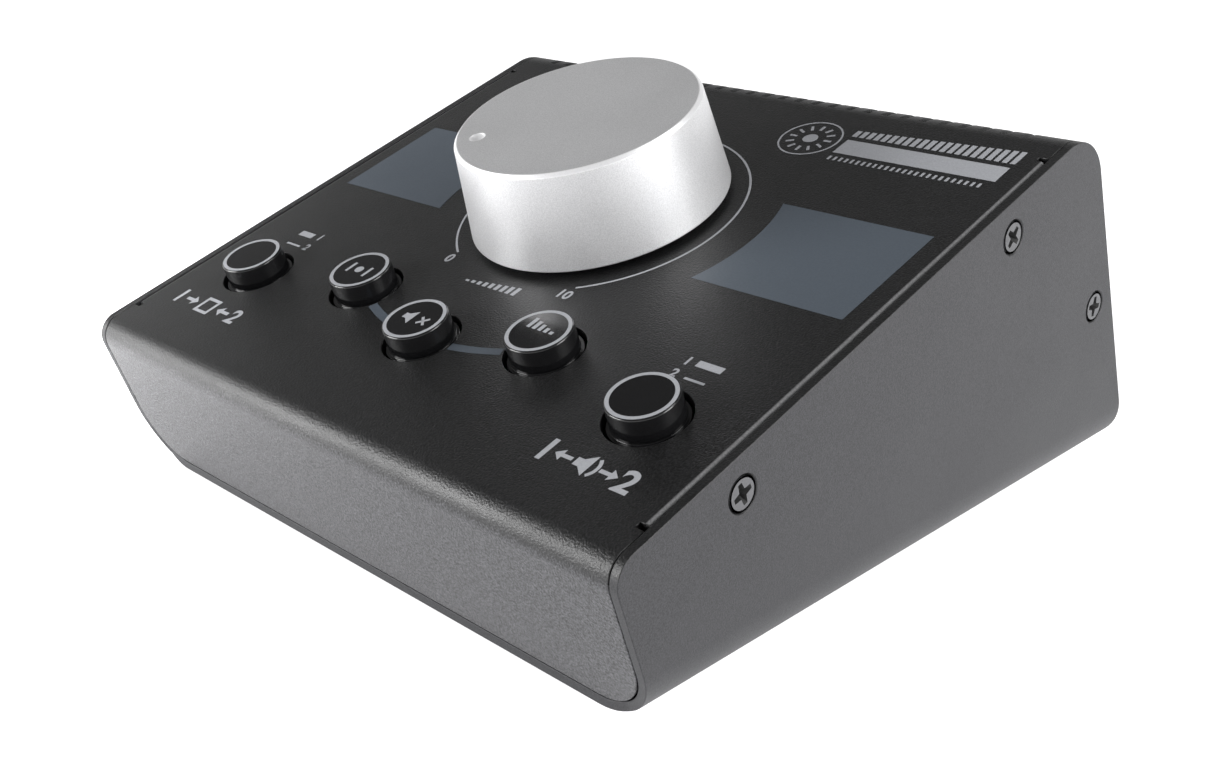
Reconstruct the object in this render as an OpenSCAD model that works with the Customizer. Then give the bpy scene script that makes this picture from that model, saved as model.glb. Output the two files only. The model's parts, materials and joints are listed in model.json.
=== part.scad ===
// Desktop studio monitor controller: a wedge-shaped sheet-metal case with one large volume
// knob and five push buttons on its sloping top, and eight quarter-inch jacks in its back.
//
// Axes: X to the right, Y to the back, Z up. The origin is the middle of the bounding box,
// at the level of the surface that the feet stand on. All sizes are in millimetres.
//
// The case is laid out in its own frame, whose zero is the front edge of the tray's floor.
// Two more frames follow its sheets: "top" (x, distance up the slope, height above the
// panel) and "rear" (x, distance up the back, distance out of the back).

/* [Case] */
// Outer width of the case
case_w = 140; // [138:1:220]
// Length of the sloping top between its sharp corners
top_l = 127; // [120:1:180]
// Slope of the top panel, in degrees
top_slope = 18.6; // [14:0.1:22]
// Height of the top's sharp front corner above the underside of the floor
front_h = 30; // [28:0.5:45]
// Lean of the back panel from the vertical, in degrees
rear_lean = 22.3; // [15:0.1:26]
// Thickness of both bent sheets
sheet_t = 1.6; // [1:0.1:2]
// Gap at the seams between the cover and the tray
seam_gap = 0.3; // [0.2:0.05:0.5]
// Outer radius of the bends between the tray's floor and its side walls
tray_bend_r = 12; // [8:0.5:15]
// Outer radius of the bend between the top and the front lip
front_bend_r = 4.4; // [3:0.1:6]
// Outer radius of the bend between the top and the back
rear_bend_r = 10; // [5:0.5:12]
// Outer radius of the bends of the cover's side flanges
flange_bend_r = 1.6; // [1:0.1:2.5]
// Depth of the cover's side flanges
flange_d = 12; // [10:0.5:14]
// Distance from the top's front corner to its side flanges
flange_front = 9.5; // [8:0.5:14]
// Distance from the top's rear corner to its side flanges
flange_rear = 14.7; // [13:0.1:18]
// Length of the flanges at the sides of the back panel
rear_tab_l = 26; // [14:1:30]
// Width of the relief notches at the ends of the flanges
notch_w = 1.8; // [1:0.1:2.5]
// Depth of the relief notches
notch_d = 1.7; // [1.6:0.1:3]

/* [Vent slots] */
// Number of vent slots across the rear bend
vent_n = 30; // [4:2:30]
// Distance between the middles of two vent slots
vent_pitch = 4.15; // [3:0.05:4.2]
// Width of a vent slot
vent_w = 1.5; // [1:0.1:1.8]
// Height of a vent slot
vent_h = 13.5; // [8:0.5:15]

/* [Volume knob] */
// Distance of the knob's axis from the top's front corner
knob_s = 72.3; // [70:0.1:90]
// Radius of the knob at its base
knob_base_r = 24.7; // [20:0.1:30]
// Radius of the knob at its top
knob_top_r = 22.9; // [18:0.1:28]
// Height of the knob's top face above the panel
knob_h = 19.3; // [16:0.1:24]
// Gap between the knob and the panel
knob_gap = 1.2; // [0.8:0.1:2]
// Wall of the knob's metal shell
knob_wall = 1.6; // [1:0.1:2]
// Thickness of the knob's metal top
knob_roof = 2; // [1.5:0.1:2.5]
// Bevel around the knob's top face
knob_bevel = 0.5; // [0.2:0.1:1]
// Distance of the pointer dimple from the edge of the knob's top
dimple_inset = 4.5; // [3:0.1:12]
// Diameter of the pointer dimple
dimple_d = 3; // [2:0.1:3.4]
// Depth of the pointer dimple
dimple_deep = 0.6; // [0.3:0.1:0.8]
// Where the pointer stands, in degrees clockwise from straight up the slope
pointer_angle = -137; // [-150:1:150]

/* [Push buttons] */
// Distance of the two outer buttons from the middle
outer_button_x = 51.8; // [48:0.1:55]
// Distance of the two outer buttons from the top's front corner
outer_button_s = 27.2; // [26:0.1:28]
// Distance of the two middle-row buttons from the middle
inner_button_x = 24; // [18:0.1:27]
// Distance of the two middle-row buttons from the top's front corner
inner_button_s = 32.8; // [28:0.1:34]
// Distance of the centre button from the top's front corner
centre_button_s = 26.2; // [24:0.1:30]
// Radius of a cap
cap_r = 5.9; // [5:0.1:7.5]
// How far the collar at a cap's foot stands out from the cap
cap_ledge = 0.7; // [0.4:0.05:1]
// Gap between a cap's collar and its hole in the panel
button_gap = 0.5; // [0.2:0.05:1]
// Height of a cap above the panel when it is out
cap_h = 3.8; // [3:0.1:5]
// Depth of a cap's foot below the face of the panel
cap_foot = 1.5; // [1:0.1:2]
// How far a button is pushed in
button_travel = 2.5; // [1:0.1:2.5]

/* [Jacks] */
// Width and height of a jack's housing
jack_side = 14; // [13.5:0.1:14.5]
// Gap between two jack housings
jack_gap = 2; // [0.5:0.1:2]
// Height of the jacks' axes up the back panel
jack_t = 34; // [33:0.5:38]
// Radius of the bore that takes a quarter-inch plug
jack_bore_r = 3.25; // [3.22:0.01:3.35]
// Wall of the threaded bushing
bushing_wall = 1.45; // [1.2:0.05:1.5]
// How far the bushing stands out of the back
bushing_nose = 5; // [4:0.1:7]
// Depth of a jack's housing
jack_depth = 26.4; // [26:0.1:29]

/* [Fasteners and feet] */
// Radius of the machine screws
screw_r = 1.5; // [1.5:0.05:1.6]
// Radius of a countersunk screw head
sunk_head_r = 2.8; // [2.7:0.05:2.9]
// Radius of a countersink at the face of the sheet
sink_r = 3.25; // [3.1:0.05:3.4]
// Length of the side screws
side_screw_l = 5; // [4:0.5:6]
// Distance of the side screws from the edges of the case
screw_inset = 6.3; // [5.5:0.1:7]
// Distance of the front side screws from the top's front corner
front_screw_s = 25.6; // [20:0.1:40]
// Distance of the back side screws from the top's rear corner
back_screw_s = 28.9; // [22:0.1:40]
// Height of the rear side screws up the back panel
rear_screw_t = 39; // [36:0.5:45]
// Radius of the rubber feet
foot_r = 6; // [4:0.5:9]
// Height of the rubber feet
foot_h = 2.5; // [1.5:0.1:5]
// Distance of the feet's middles from the sides of the case
foot_inset = 22; // [19:1:30]

/* [Boards] */
// Distance from the underside of the panel to the control board
board_drop = 16; // [13:0.5:20]
// Half the width of the control board
board_half = 59; // [58:0.5:60]
// Distance of the control board's front edge from the top's front corner
board_front = 15; // [12:0.5:16]
// Distance of the control board's rear edge from the top's front corner
board_back = 96; // [95:0.5:100]
// Thickness of both boards
board_t = 1.6; // [1.2:0.1:2]
// Distance of the standoffs from the middle
standoff_x = 38; // [36:0.5:40]
// Distance of the front standoffs from the top's front corner
standoff_front_s = 20.5; // [19.5:0.1:21]
// Distance of the rear standoffs from the top's front corner
standoff_back_s = 89; // [87:0.5:91]
// Distance of the ribbon headers from the middle
header_x = 26; // [22:0.5:26]

/* [Hidden] */

$fn = 64;
past = 1;               // how far a cutting tool runs past a face
slack = 0.01;           // how far shapes that are joined reach into each other
bend_steps = 12;        // flats in a bend of the sheets
running_fit = 0.05;     // radial clearance of a turning shaft
seat_fit = 0.03;        // clearance of parts that are pushed together
loose_fit = 0.1;        // clearance of washers and nuts on their threads

// Side view of the case: corner points as [y, z] in the case frame
front_corner = front_at(front_h);
rear_corner = front_corner + top_l * [cos(top_slope), sin(top_slope)];
front_foot = front_at(sheet_t);
rear_foot = rear_at(sheet_t);
rear_l = norm(rear_corner - rear_foot);

// The cover lies inside the tray's walls, and ends just above its floor
lid_half = case_w / 2 - sheet_t - seam_gap;
lid_low = sheet_t + seam_gap;
lid_corner_r = tray_bend_r - sheet_t - seam_gap;

// The caps' collars and the holes around them
cap_collar_r = cap_r + cap_ledge;
button_hole_r = cap_collar_r + button_gap;
cap_wall = 1.2;

jack_n = 8;
jack_pitch = jack_side + jack_gap;
jack_first = -(jack_n - 1) / 2 * jack_pitch;
bushing_r = jack_bore_r + bushing_wall;
jack_board_t = jack_t - jack_side / 2;
jack_seat = 7.4;        // how deep the bushing reaches into its housing
jack_chamber_r = jack_bore_r + 0.25;
jack_nut_h = 2.2;
jack_nut_af = 2 * bushing_r + 3.3;
jack_washer_h = 0.7;
jack_washer_r = bushing_r + 2.2;
jack_end_wall = 1.5;
jack_board_gap = 0.8;   // between the back panel and the edge of the jack board
jack_board_depth = 44;
jack_board_half = -jack_first + jack_side / 2 + 0.3;
bushing_low = -sheet_t - jack_seat;
bushing_edge = 0.4;

// Contacts of a jack; a spring contact has a side, 0 or 180 degrees, and a distance in front
// of the back panel's face. The tip's lies deeper than the ring's
contact_t = 0.4;
contact_l = 7;
contact_x = jack_chamber_r + 0.4;
contact_foot = -6;
contact_high = 2;
contact_bump = 0.45;
contact_leg_w = 0.8;
spring_contacts = [[0, -23], [180, -15]];
sleeve_out = -5;

// Holes in the boards, and the small parts on them
pin_hole_r = 0.5;
standoff_af = 5.5;
board_screw_l = 6;
pan_head_r = 2.8;
pan_head_h = 2;
chip_w = 2;
chip_l = 3.2;
chip_h = 0.8;
chip_n = 6;
chip_pitch = 6;
chip_rows = [44, 48.5];
chip_depths = [33.5, 37];

// Screws, press nuts and feet
thread_gap = 0.04;      // radial clearance of a nut on its thread
screw_hole_r = screw_r + 0.25;
head_cone_h = sunk_head_r - screw_r;
head_recess = sink_r - sunk_head_r - seat_fit;
cross_w = 0.6;
cross_l = 3;
cross_d = 1.1;
cross_turn = 20;        // the crosses stand askew
nut_spigot_r = 2.1;
nut_spigot_h = sheet_t - seam_gap;
nut_collar_r = 3;
nut_collar_h = 2;
foot_edge = 0.4;

// Heights in the top frame
board_top = -sheet_t - board_drop;
board_low = board_top - board_t;

// Switch housings on the control board
switch_w = 8.5;
switch_l = 15;
switch_wall = 1;
carriage = 5.9;
carriage_h = 3;
carriage_gap = 0.15;    // clearance around the carriage and the stem
carriage_stop = 0.1;    // gap above a carriage that is out
stem = 3;
stem_up = 1.4;
spring_r = 1.9;
spring_wire_r = 0.2;
spring_turns = 5;
spring_pressed = 2 * spring_wire_r * (spring_turns + 1);
spring_l = spring_pressed + button_travel;
spring_low = board_top + switch_wall;
carriage_top = spring_low + spring_l + carriage_h;
switch_top = carriage_top + carriage_stop + switch_wall;
switch_pin = 0.6;
switch_pin_x = [-2.5, 2.5];
switch_pin_rows = [-5, 0, 5];
pin_end = 1.3;          // how far pins come through a board

// Parts of the volume potentiometer
shaft_r = 3;
shaft_flat = 1.5;       // distance of the flat from the axis
pot_side = 17;
pot_front_plate = 1.2;
gangs = 4;
gang_pitch = (board_drop - pot_front_plate) / gangs;
gang_cavity_h = 2;
gang_cavity_r = 7;
wiper_r = 6.4;
wiper_h = 1;
pot_thread_r = 4.4;
pot_thread_top = 4.5;
pot_nut_af = 12;
pot_nut_h = 2.2;
pot_washer_h = 0.7;
pot_washer_r = 7.5;
pot_pin_w = 0.8;
pot_pin_t = 0.4;
pot_pin_pitch = 5;
pot_pin_step = 1.9;
pot_pin_first = 1.5;
groove = 0.4;
brush = 2;
brush_h = 0.4;
end_gap = 0.3;          // clearance beyond the ends of the shaft and its flat
hub_r = 6.5;
hub_foot = 5;
core_roof = 2;
core_wall = 1.6;
core_foot = knob_gap + 0.6;
core_top = knob_h - knob_roof;
core_low = core_top - core_roof;
core_ribs = 6;
rib_t = 1.2;
rib_foot = hub_foot + 2;
rib_root = 0.5;         // how far a rib reaches into the hub and the rim
shaft_top = core_low - end_gap;
shaft_low = board_top + 1.2;

// Ribbon headers
header_l = 24;
header_w = 9;
header_h = 9;
header_wall = 1.2;
header_floor = 1;
plug_l = header_l - 2 * header_wall - 0.4;
plug_w = header_w - 2 * header_wall - 0.4;
plug_out = 2.6;         // how far a plug stands out of its header
plug_in = 6;
header_pin = 0.6;
header_pitch = 2.54;
header_cols = 8;
header_pin_up = 5.5;
header_rows = [-header_pitch / 2, header_pitch / 2];
header_cols_x = [for (c = [0 : header_cols - 1]) (c - (header_cols - 1) / 2) * header_pitch];
jack_header_legs = [2, 4];  // how far behind the header its lower and upper pins go down
ribbon_w = 20.3;
ribbon_t = 0.9;
ribbon_bend_r = 14;
jack_header_depth = 36;
// The control board's header keeps its distance from the back, where the other one is
control_header_s = top_l - 77;

buttons = [
    [-outer_button_x, outer_button_s],
    [-inner_button_x, inner_button_s],
    [0, centre_button_s],
    [inner_button_x, inner_button_s],
    [outer_button_x, outer_button_s]
];
standoffs = [for (x = [-standoff_x, standoff_x], s = [standoff_front_s, standoff_back_s]) [x, s]];

// ---- geometry helpers -------------------------------------------------------

function unit(v) = v / norm(v);
function corner_half(a, b, c) = acos(unit(a - b) * unit(c - b)) / 2;
function inward(a, b, c, d) = b + unit(unit(a - b) + unit(c - b)) * d / sin(corner_half(a, b, c));
function half_turn(a) = a > 180 ? a - 360 : (a < -180 ? a + 360 : a);
function direction(v) = atan2(v[1], v[0]);

// Points of the round corner of radius r at b, between the lines to a and to c
function round_corner(a, b, c, r, n = bend_steps) =
    let (
        centre = inward(a, b, c, r),
        reach = r / tan(corner_half(a, b, c)),
        start = direction(b + unit(a - b) * reach - centre),
        sweep = half_turn(direction(b + unit(c - b) * reach - centre) - start)
    )
    [for (i = [0 : n]) centre + r * [cos(start + sweep * i / n), sin(start + sweep * i / n)]];

function reversed(points) = [for (i = [len(points) - 1 : -1 : 0]) points[i]];

// The point at distance t from a, square to the line a-b, on the side where c lies
function square_off(a, b, c, t) =
    let (u = unit(b - a), w = c - a) a + t * unit(w - (w * u) * u);

// A strip of thickness t along the line a, b, c with a bend of outer radius r
function once_bent(a, b, c, r, t) =
    let (a2 = square_off(a, b, c, t), b2 = inward(a, b, c, t), c2 = square_off(c, b, a, t))
    concat(
        [a], round_corner(a, b, c, r), [c, c2], reversed(round_corner(a2, b2, c2, r - t)), [a2]
    );

// A strip of thickness t along the line a, b, c, d with bends of outer radii r and q
function twice_bent(a, b, c, d, r, q, t) =
    let (
        a2 = square_off(a, b, c, t), b2 = inward(a, b, c, t),
        c2 = inward(b, c, d, t), d2 = square_off(d, c, b, t)
    )
    concat(
        [a], round_corner(a, b, c, r), round_corner(b, c, d, q), [d, d2],
        reversed(round_corner(b2, c2, d2, q - t)), reversed(round_corner(a2, b2, c2, r - t)), [a2]
    );

// A flat-bottomed outline with two round lower corners, open upwards to z = high
function trough(half, low, r, high) = concat(
    [[-half, high]],
    round_corner([-half, high], [-half, low], [half, low], r),
    round_corner([-half, low], [half, low], [half, high], r),
    [[half, high]]
);

// Points in the case frame, as [y, z]
function front_at(z) = [-(z - sheet_t) * tan(top_slope), z];
function rear_at(z) = [rear_corner[0] + (rear_corner[1] - z) * tan(rear_lean), z];
function top_point(s, h) =
    front_corner + s * [cos(top_slope), sin(top_slope)] + h * [-sin(top_slope), cos(top_slope)];
function rear_point(t, out) =
    rear_foot + t * [-sin(rear_lean), cos(rear_lean)] + out * [cos(rear_lean), sin(rear_lean)];

case_front = inward(front_foot, front_corner, rear_corner, front_bend_r)[0] - front_bend_r;
case_middle = (case_front + rear_foot[0]) / 2;

// ---- frames -----------------------------------------------------------------

module in_place() translate([0, -case_middle, foot_h]) children();

module on_top(x = 0, s = 0, h = 0)
    in_place()
        translate([0, front_corner[0], front_corner[1]])
            rotate([top_slope, 0, 0])
                translate([x, s, h]) children();

module on_rear(x = 0, t = 0, out = 0)
    in_place()
        translate([x, rear_foot[0], rear_foot[1]])
            rotate([rear_lean, 0, 0])
                rotate([90, 0, 180])
                    translate([0, t, out]) children();

// Extrudes a side view, drawn as [y, z], across the case
module across(w, x = 0)
    translate([x - w / 2, 0, 0]) rotate([90, 0, 90]) linear_extrude(w) children();

// Extrudes a front view, drawn as [x, z], from front to back
module front_to_back(y0, y1)
    translate([0, y1, 0]) rotate([90, 0, 0]) linear_extrude(y1 - y0) children();

// Places its children at the side screws, with Z out of the side walls
side_screw_points = [
    top_point(front_screw_s, -screw_inset),
    top_point(top_l - back_screw_s, -screw_inset),
    rear_point(rear_screw_t, -screw_inset)
];
module at_side_screws()
    in_place()
        for (side = [-1, 1], p = side_screw_points)
            translate([side * case_w / 2, p[0], p[1]]) rotate([0, side * 90, 0]) children();

module hex(af, h) cylinder(h = h, r = af / sqrt(3), $fn = 6);

module tube(r_out, r_in, h)
    difference() {
        cylinder(h = h, r = r_out);
        translate([0, 0, -slack]) cylinder(h = h + 2 * slack, r = r_in);
    }

module centred_box(w, l, h, z = 0) translate([-w / 2, -l / 2, z]) cube([w, l, h]);

// A hole through a sheet whose face is at z = 0
module sheet_hole(r)
    translate([0, 0, -sheet_t - past]) cylinder(h = sheet_t + 2 * past, r = r);

// ---- case -------------------------------------------------------------------

module flange_corner_tool(side, from, length)
    // what is cut off the cover's edge to round the bend of a side flange
    translate([side * lid_half, from, 0])
        rotate([-90, 0, 0]) linear_extrude(length)
            polygon(concat(
                [[side * slack, -slack]],
                [for (a = [0 : 15 : 90]) flange_bend_r * [side * (sin(a) - 1), 1 - cos(a)]],
                [[side * slack, flange_bend_r]]
            ));

module cover_sheet()
    in_place()
        intersection() {
            across(2 * lid_half)
                polygon(twice_bent(
                    front_at(lid_low), front_corner, rear_corner, rear_at(lid_low),
                    front_bend_r, rear_bend_r, sheet_t
                ));
            front_to_back(front_corner[0] - past, rear_foot[0] + past)
                polygon(trough(lid_half, lid_low, lid_corner_r, rear_corner[1] + past));
        }

module side_flanges() {
    for (side = [-1, 1])
        on_top(side * (lid_half - sheet_t / 2))
            translate([-sheet_t / 2, flange_front, -flange_d])
                cube([sheet_t, top_l - flange_rear - flange_front, flange_d]);
    for (side = [-1, 1])
        on_rear(side * (lid_half - sheet_t / 2), rear_screw_t)
            translate([-sheet_t / 2, -rear_tab_l / 2, -flange_d])
                cube([sheet_t, rear_tab_l, flange_d]);
}

module vent_slots() {
    // the slots reach up to the middle of the bend
    half = corner_half(front_corner, rear_corner, rear_foot);
    vent_top_t = rear_l - rear_bend_r / tan(half) + rear_bend_r * cos(half);
    for (i = [0 : vent_n - 1])
        on_rear((i - (vent_n - 1) / 2) * vent_pitch, vent_top_t - vent_h, -rear_bend_r)
            translate([-vent_w / 2, 0, 0]) cube([vent_w, vent_h, rear_bend_r + past]);
}

module top_cover() {
    notch_ends = [flange_front - notch_w, top_l - flange_rear];
    color([0.12, 0.12, 0.13])
        difference() {
            union() {
                cover_sheet();
                side_flanges();
            }
            for (side = [-1, 1]) {
                on_top() flange_corner_tool(side, flange_front, top_l - flange_rear - flange_front);
                for (s = notch_ends)
                    on_top(side * (lid_half - notch_d / 2 + slack), s)
                        translate([-notch_d / 2 - slack, 0, -sheet_t - past])
                            cube([notch_d + 2 * slack, notch_w, sheet_t + 2 * past]);
            }
            for (b = buttons)
                on_top(b[0], b[1]) sheet_hole(button_hole_r);
            on_top(0, knob_s) sheet_hole(pot_thread_r + loose_fit);
            for (i = [0 : jack_n - 1])
                on_jack(i) sheet_hole(bushing_r + loose_fit);
            vent_slots();
            at_side_screws()
                translate([0, 0, lid_half - case_w / 2]) sheet_hole(nut_spigot_r + seat_fit);
        }
}

module base_tray() {
    side_view = concat(
        [[0, 0], front_foot],
        round_corner(front_foot, front_corner, rear_corner, front_bend_r),
        round_corner(front_corner, rear_corner, rear_foot, rear_bend_r),
        [rear_foot, [rear_foot[0], 0]]
    );
    sink_depth = sink_r - screw_hole_r;
    color([0.36, 0.36, 0.38])
        difference() {
            in_place()
                intersection() {
                    front_to_back(front_corner[0] - past, rear_foot[0] + past)
                        difference() {
                            polygon(trough(case_w / 2, 0, tray_bend_r, rear_corner[1]));
                            polygon(trough(
                                case_w / 2 - sheet_t, sheet_t, tray_bend_r - sheet_t,
                                rear_corner[1] + past
                            ));
                        }
                    across(case_w + 2 * past) polygon(side_view);
                }
            at_side_screws() {
                sheet_hole(screw_hole_r);
                translate([0, 0, -sink_depth])
                    cylinder(h = sink_depth + slack, r1 = screw_hole_r, r2 = sink_r + slack);
            }
        }
}

// ---- fasteners and feet -----------------------------------------------------

// The cross-shaped recess in a screw's head, whose face is at z = 0
module cross_recess()
    for (a = [0, 90])
        rotate([0, 0, a]) centred_box(cross_l, cross_w, cross_d + past, -cross_d);

module side_screws()
    color([0.45, 0.45, 0.46])
        at_side_screws()
            difference() {
                union() {
                    translate([0, 0, -head_recess - head_cone_h])
                        cylinder(h = head_cone_h, r1 = screw_r, r2 = sunk_head_r);
                    translate([0, 0, -head_recess - side_screw_l])
                        cylinder(h = side_screw_l - head_cone_h + slack, r = screw_r);
                }
                translate([0, 0, -head_recess]) rotate([0, 0, cross_turn]) cross_recess();
            }

module press_nuts()
    color([0.6, 0.6, 0.62])
        at_side_screws()
            translate([0, 0, lid_half - case_w / 2 - sheet_t])
                difference() {
                    union() {
                        translate([0, 0, -nut_collar_h])
                            cylinder(h = nut_collar_h, r = nut_collar_r);
                        translate([0, 0, -slack]) cylinder(h = nut_spigot_h, r = nut_spigot_r);
                    }
                    translate([0, 0, -nut_collar_h - past])
                        cylinder(h = nut_collar_h + sheet_t + 2 * past, r = screw_r + thread_gap);
                }

module rubber_feet()
    color([0.08, 0.08, 0.08])
        for (x = [foot_inset - case_w / 2, case_w / 2 - foot_inset],
             y = [foot_inset, rear_foot[0] - foot_inset])
            translate([x, y - case_middle, 0])
                rotate_extrude()
                    polygon([
                        [0, 0], [foot_r - 2 * foot_edge, 0], [foot_r - foot_edge, foot_edge],
                        [foot_r, foot_h], [0, foot_h]
                    ]);

// ---- volume knob and potentiometer ------------------------------------------

// Outer radius of the knob, and of its core, at height h above the panel
function knob_r(h) =
    knob_base_r + (knob_top_r - knob_base_r) * (h - knob_gap) / (knob_h - knob_gap);
function core_r(h) = knob_r(h) - knob_wall - seat_fit;

module on_knob() on_top(0, knob_s) rotate([0, 0, -pointer_angle]) children();

module volume_knob_shell() {
    bevel_h = knob_h - knob_bevel;
    dimple_ball_r = (pow(dimple_d / 2, 2) + pow(dimple_deep, 2)) / (2 * dimple_deep);
    color([0.8, 0.8, 0.82])
        on_knob()
            difference() {
                rotate_extrude($fn = 128)
                    polygon([
                        [knob_base_r - knob_wall, knob_gap], [knob_base_r, knob_gap],
                        [knob_r(bevel_h), bevel_h], [knob_r(bevel_h) - knob_bevel, knob_h],
                        [0, knob_h], [0, core_top], [knob_r(core_top) - knob_wall, core_top]
                    ]);
                translate([0, knob_top_r - dimple_inset, knob_h + dimple_ball_r - dimple_deep])
                    sphere(r = dimple_ball_r);
            }
}

module volume_knob_core()
    color([0.1, 0.1, 0.1])
        on_knob()
            difference() {
                union() {
                    rotate_extrude($fn = 128)
                        polygon([
                            [core_r(core_foot) - core_wall, core_foot],
                            [core_r(core_foot), core_foot], [core_r(core_top), core_top],
                            [0, core_top], [0, core_low],
                            [core_r(core_top) - core_wall, core_low]
                        ]);
                    translate([0, 0, hub_foot])
                        cylinder(h = core_low - hub_foot + slack, r = hub_r);
                    for (i = [0 : core_ribs - 1])
                        rotate([0, 0, 360 * (i + 0.5) / core_ribs])
                            translate([hub_r - rib_root, -rib_t / 2, rib_foot])
                                cube([
                                    core_r(core_top) - core_wall - hub_r + 2 * rib_root, rib_t,
                                    core_low - rib_foot + slack
                                ]);
                }
                translate([0, 0, hub_foot - past])
                    flatted_rod(
                        core_low - hub_foot + past, shaft_r + seat_fit, shaft_flat + seat_fit
                    );
            }

// A round rod of height h whose one side is cut flat at distance flat from its axis
module flatted_rod(h, r, flat)
    difference() {
        cylinder(h = h, r = r);
        translate([-r - past, flat, -past]) cube([2 * r + 2 * past, r, h + 2 * past]);
    }

module volume_shaft()
    color([0.75, 0.75, 0.77])
        on_knob()
            difference() {
                translate([0, 0, shaft_low]) cylinder(h = shaft_top - shaft_low, r = shaft_r);
                translate([-shaft_r, shaft_flat, hub_foot - end_gap])
                    cube([2 * shaft_r, shaft_r, shaft_top]);
            }

// Height of the middle of a gang's cavity, counted from the panel down
function gang_h(i) = -sheet_t - pot_front_plate - (i + 0.5) * gang_pitch;

module volume_wipers()
    color([0.85, 0.8, 0.6])
        on_knob()
            for (i = [0 : gangs - 1])
                translate([0, 0, gang_h(i) - wiper_h / 2]) {
                    tube(wiper_r, shaft_r + seat_fit, wiper_h);
                    translate([-brush / 2, wiper_r - brush - end_gap, wiper_h - slack])
                        cube([brush, brush, brush_h]);
                }

module volume_pot_body()
    color([0.3, 0.31, 0.33])
        on_top(0, knob_s)
            difference() {
                centred_box(pot_side, pot_side, board_drop, board_top);
                translate([0, 0, shaft_low - end_gap])
                    cylinder(h = board_drop, r = shaft_r + end_gap);
                for (i = [0 : gangs - 1])
                    translate([0, 0, gang_h(i) - gang_cavity_h / 2])
                        cylinder(h = gang_cavity_h, r = gang_cavity_r);
                // grooves that part the gangs on the outside
                for (i = [0 : gangs - 1])
                    translate([0, 0, gang_h(i) + gang_pitch / 2 - groove / 2])
                        difference() {
                            centred_box(pot_side + past, pot_side + past, groove);
                            centred_box(
                                pot_side - 2 * groove, pot_side - 2 * groove,
                                groove + 2 * past, -past
                            );
                        }
            }

module volume_pot_bushing()
    color([0.72, 0.7, 0.66])
        on_top(0, knob_s, -sheet_t)
            tube(pot_thread_r, shaft_r + running_fit, sheet_t + pot_thread_top);

module volume_pot_washer()
    color([0.7, 0.7, 0.7])
        on_top(0, knob_s) tube(pot_washer_r, pot_thread_r + loose_fit, pot_washer_h);

module volume_pot_nut()
    color([0.7, 0.68, 0.62])
        on_top(0, knob_s, pot_washer_h)
            difference() {
                hex(pot_nut_af, pot_nut_h);
                translate([0, 0, -past])
                    cylinder(h = pot_nut_h + 2 * past, r = pot_thread_r + thread_gap);
            }

// How far in front of the body a gang's pins go down; the top gang's are furthest out
function pot_pin_reach(i) = pot_pin_first + pot_pin_step * (gangs - 1 - i);
pot_pin_places = [
    for (i = [0 : gangs - 1], k = [-1 : 1])
        [k * pot_pin_pitch, knob_s - pot_side / 2 - pot_pin_reach(i), i]
];

module volume_pot_pins()
    color([0.8, 0.78, 0.7])
        for (p = pot_pin_places)
            on_top(p[0], p[1]) {
                translate([-pot_pin_w / 2, -pot_pin_t / 2, gang_h(p[2]) - pot_pin_t])
                    cube([pot_pin_w, pot_pin_reach(p[2]) + pot_pin_t / 2, pot_pin_t]);
                translate([-pot_pin_w / 2, -pot_pin_t / 2, board_low - pin_end])
                    cube([pot_pin_w, pot_pin_t, gang_h(p[2]) - board_low + pin_end]);
            }

// ---- push buttons -----------------------------------------------------------

cap_bevel = 0.35;
cap_roof = 1.4;
collar_top = -0.7;      // below the face of the panel
collar_edge = 0.25;
boss = 4.8;
socket_up = stem_up + 0.1;

module button_cap(i)
    color([0.06, 0.06, 0.065])
        on_top(buttons[i][0], buttons[i][1])
            difference() {
                union() {
                    difference() {
                        rotate_extrude()
                            polygon([
                                [0, -cap_foot], [cap_collar_r, -cap_foot],
                                [cap_collar_r, collar_top - collar_edge],
                                [cap_collar_r - collar_edge, collar_top],
                                [cap_r, collar_top], [cap_r, cap_h - cap_bevel],
                                [cap_r - cap_bevel, cap_h], [0, cap_h]
                            ]);
                        translate([0, 0, -cap_foot - past])
                            cylinder(h = cap_h - cap_roof + cap_foot + past, r = cap_r - cap_wall);
                    }
                    centred_box(boss, boss, cap_h - cap_roof + cap_foot + slack, -cap_foot);
                }
                centred_box(
                    stem + 2 * seat_fit, stem + 2 * seat_fit, socket_up + cap_foot + past,
                    -cap_foot - past
                );
            }

module plunger(i)
    color([0.9, 0.9, 0.88])
        on_top(buttons[i][0], buttons[i][1]) {
            centred_box(carriage, carriage, carriage_h, carriage_top - carriage_h);
            centred_box(stem, stem, stem_up - carriage_top + slack, carriage_top - slack);
        }

module switch_housing(i)
    color([0.15, 0.15, 0.16])
        on_top(buttons[i][0], buttons[i][1])
            difference() {
                centred_box(switch_w, switch_l, switch_top - board_top, board_top);
                centred_box(
                    carriage + 2 * carriage_gap, carriage + 2 * carriage_gap,
                    switch_top - switch_wall - spring_low, spring_low
                );
                centred_box(
                    stem + 2 * carriage_gap, stem + 2 * carriage_gap, switch_wall + past,
                    switch_top - switch_wall - slack
                );
            }

// A coil spring: one unbroken wire of round section, swept around its axis
wire_sides = 6;
rings_per_turn = 10;
function coil_point(r, angle, rise) = [r * cos(angle), r * sin(angle), rise * angle / 360];
function coil_ring(r, wire, angle, rise) = [
    for (k = [0 : wire_sides - 1])
        let (a = 360 * k / wire_sides)
        coil_point(r + wire * cos(a), angle, rise) + [0, 0, wire * sin(a)]
];

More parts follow.
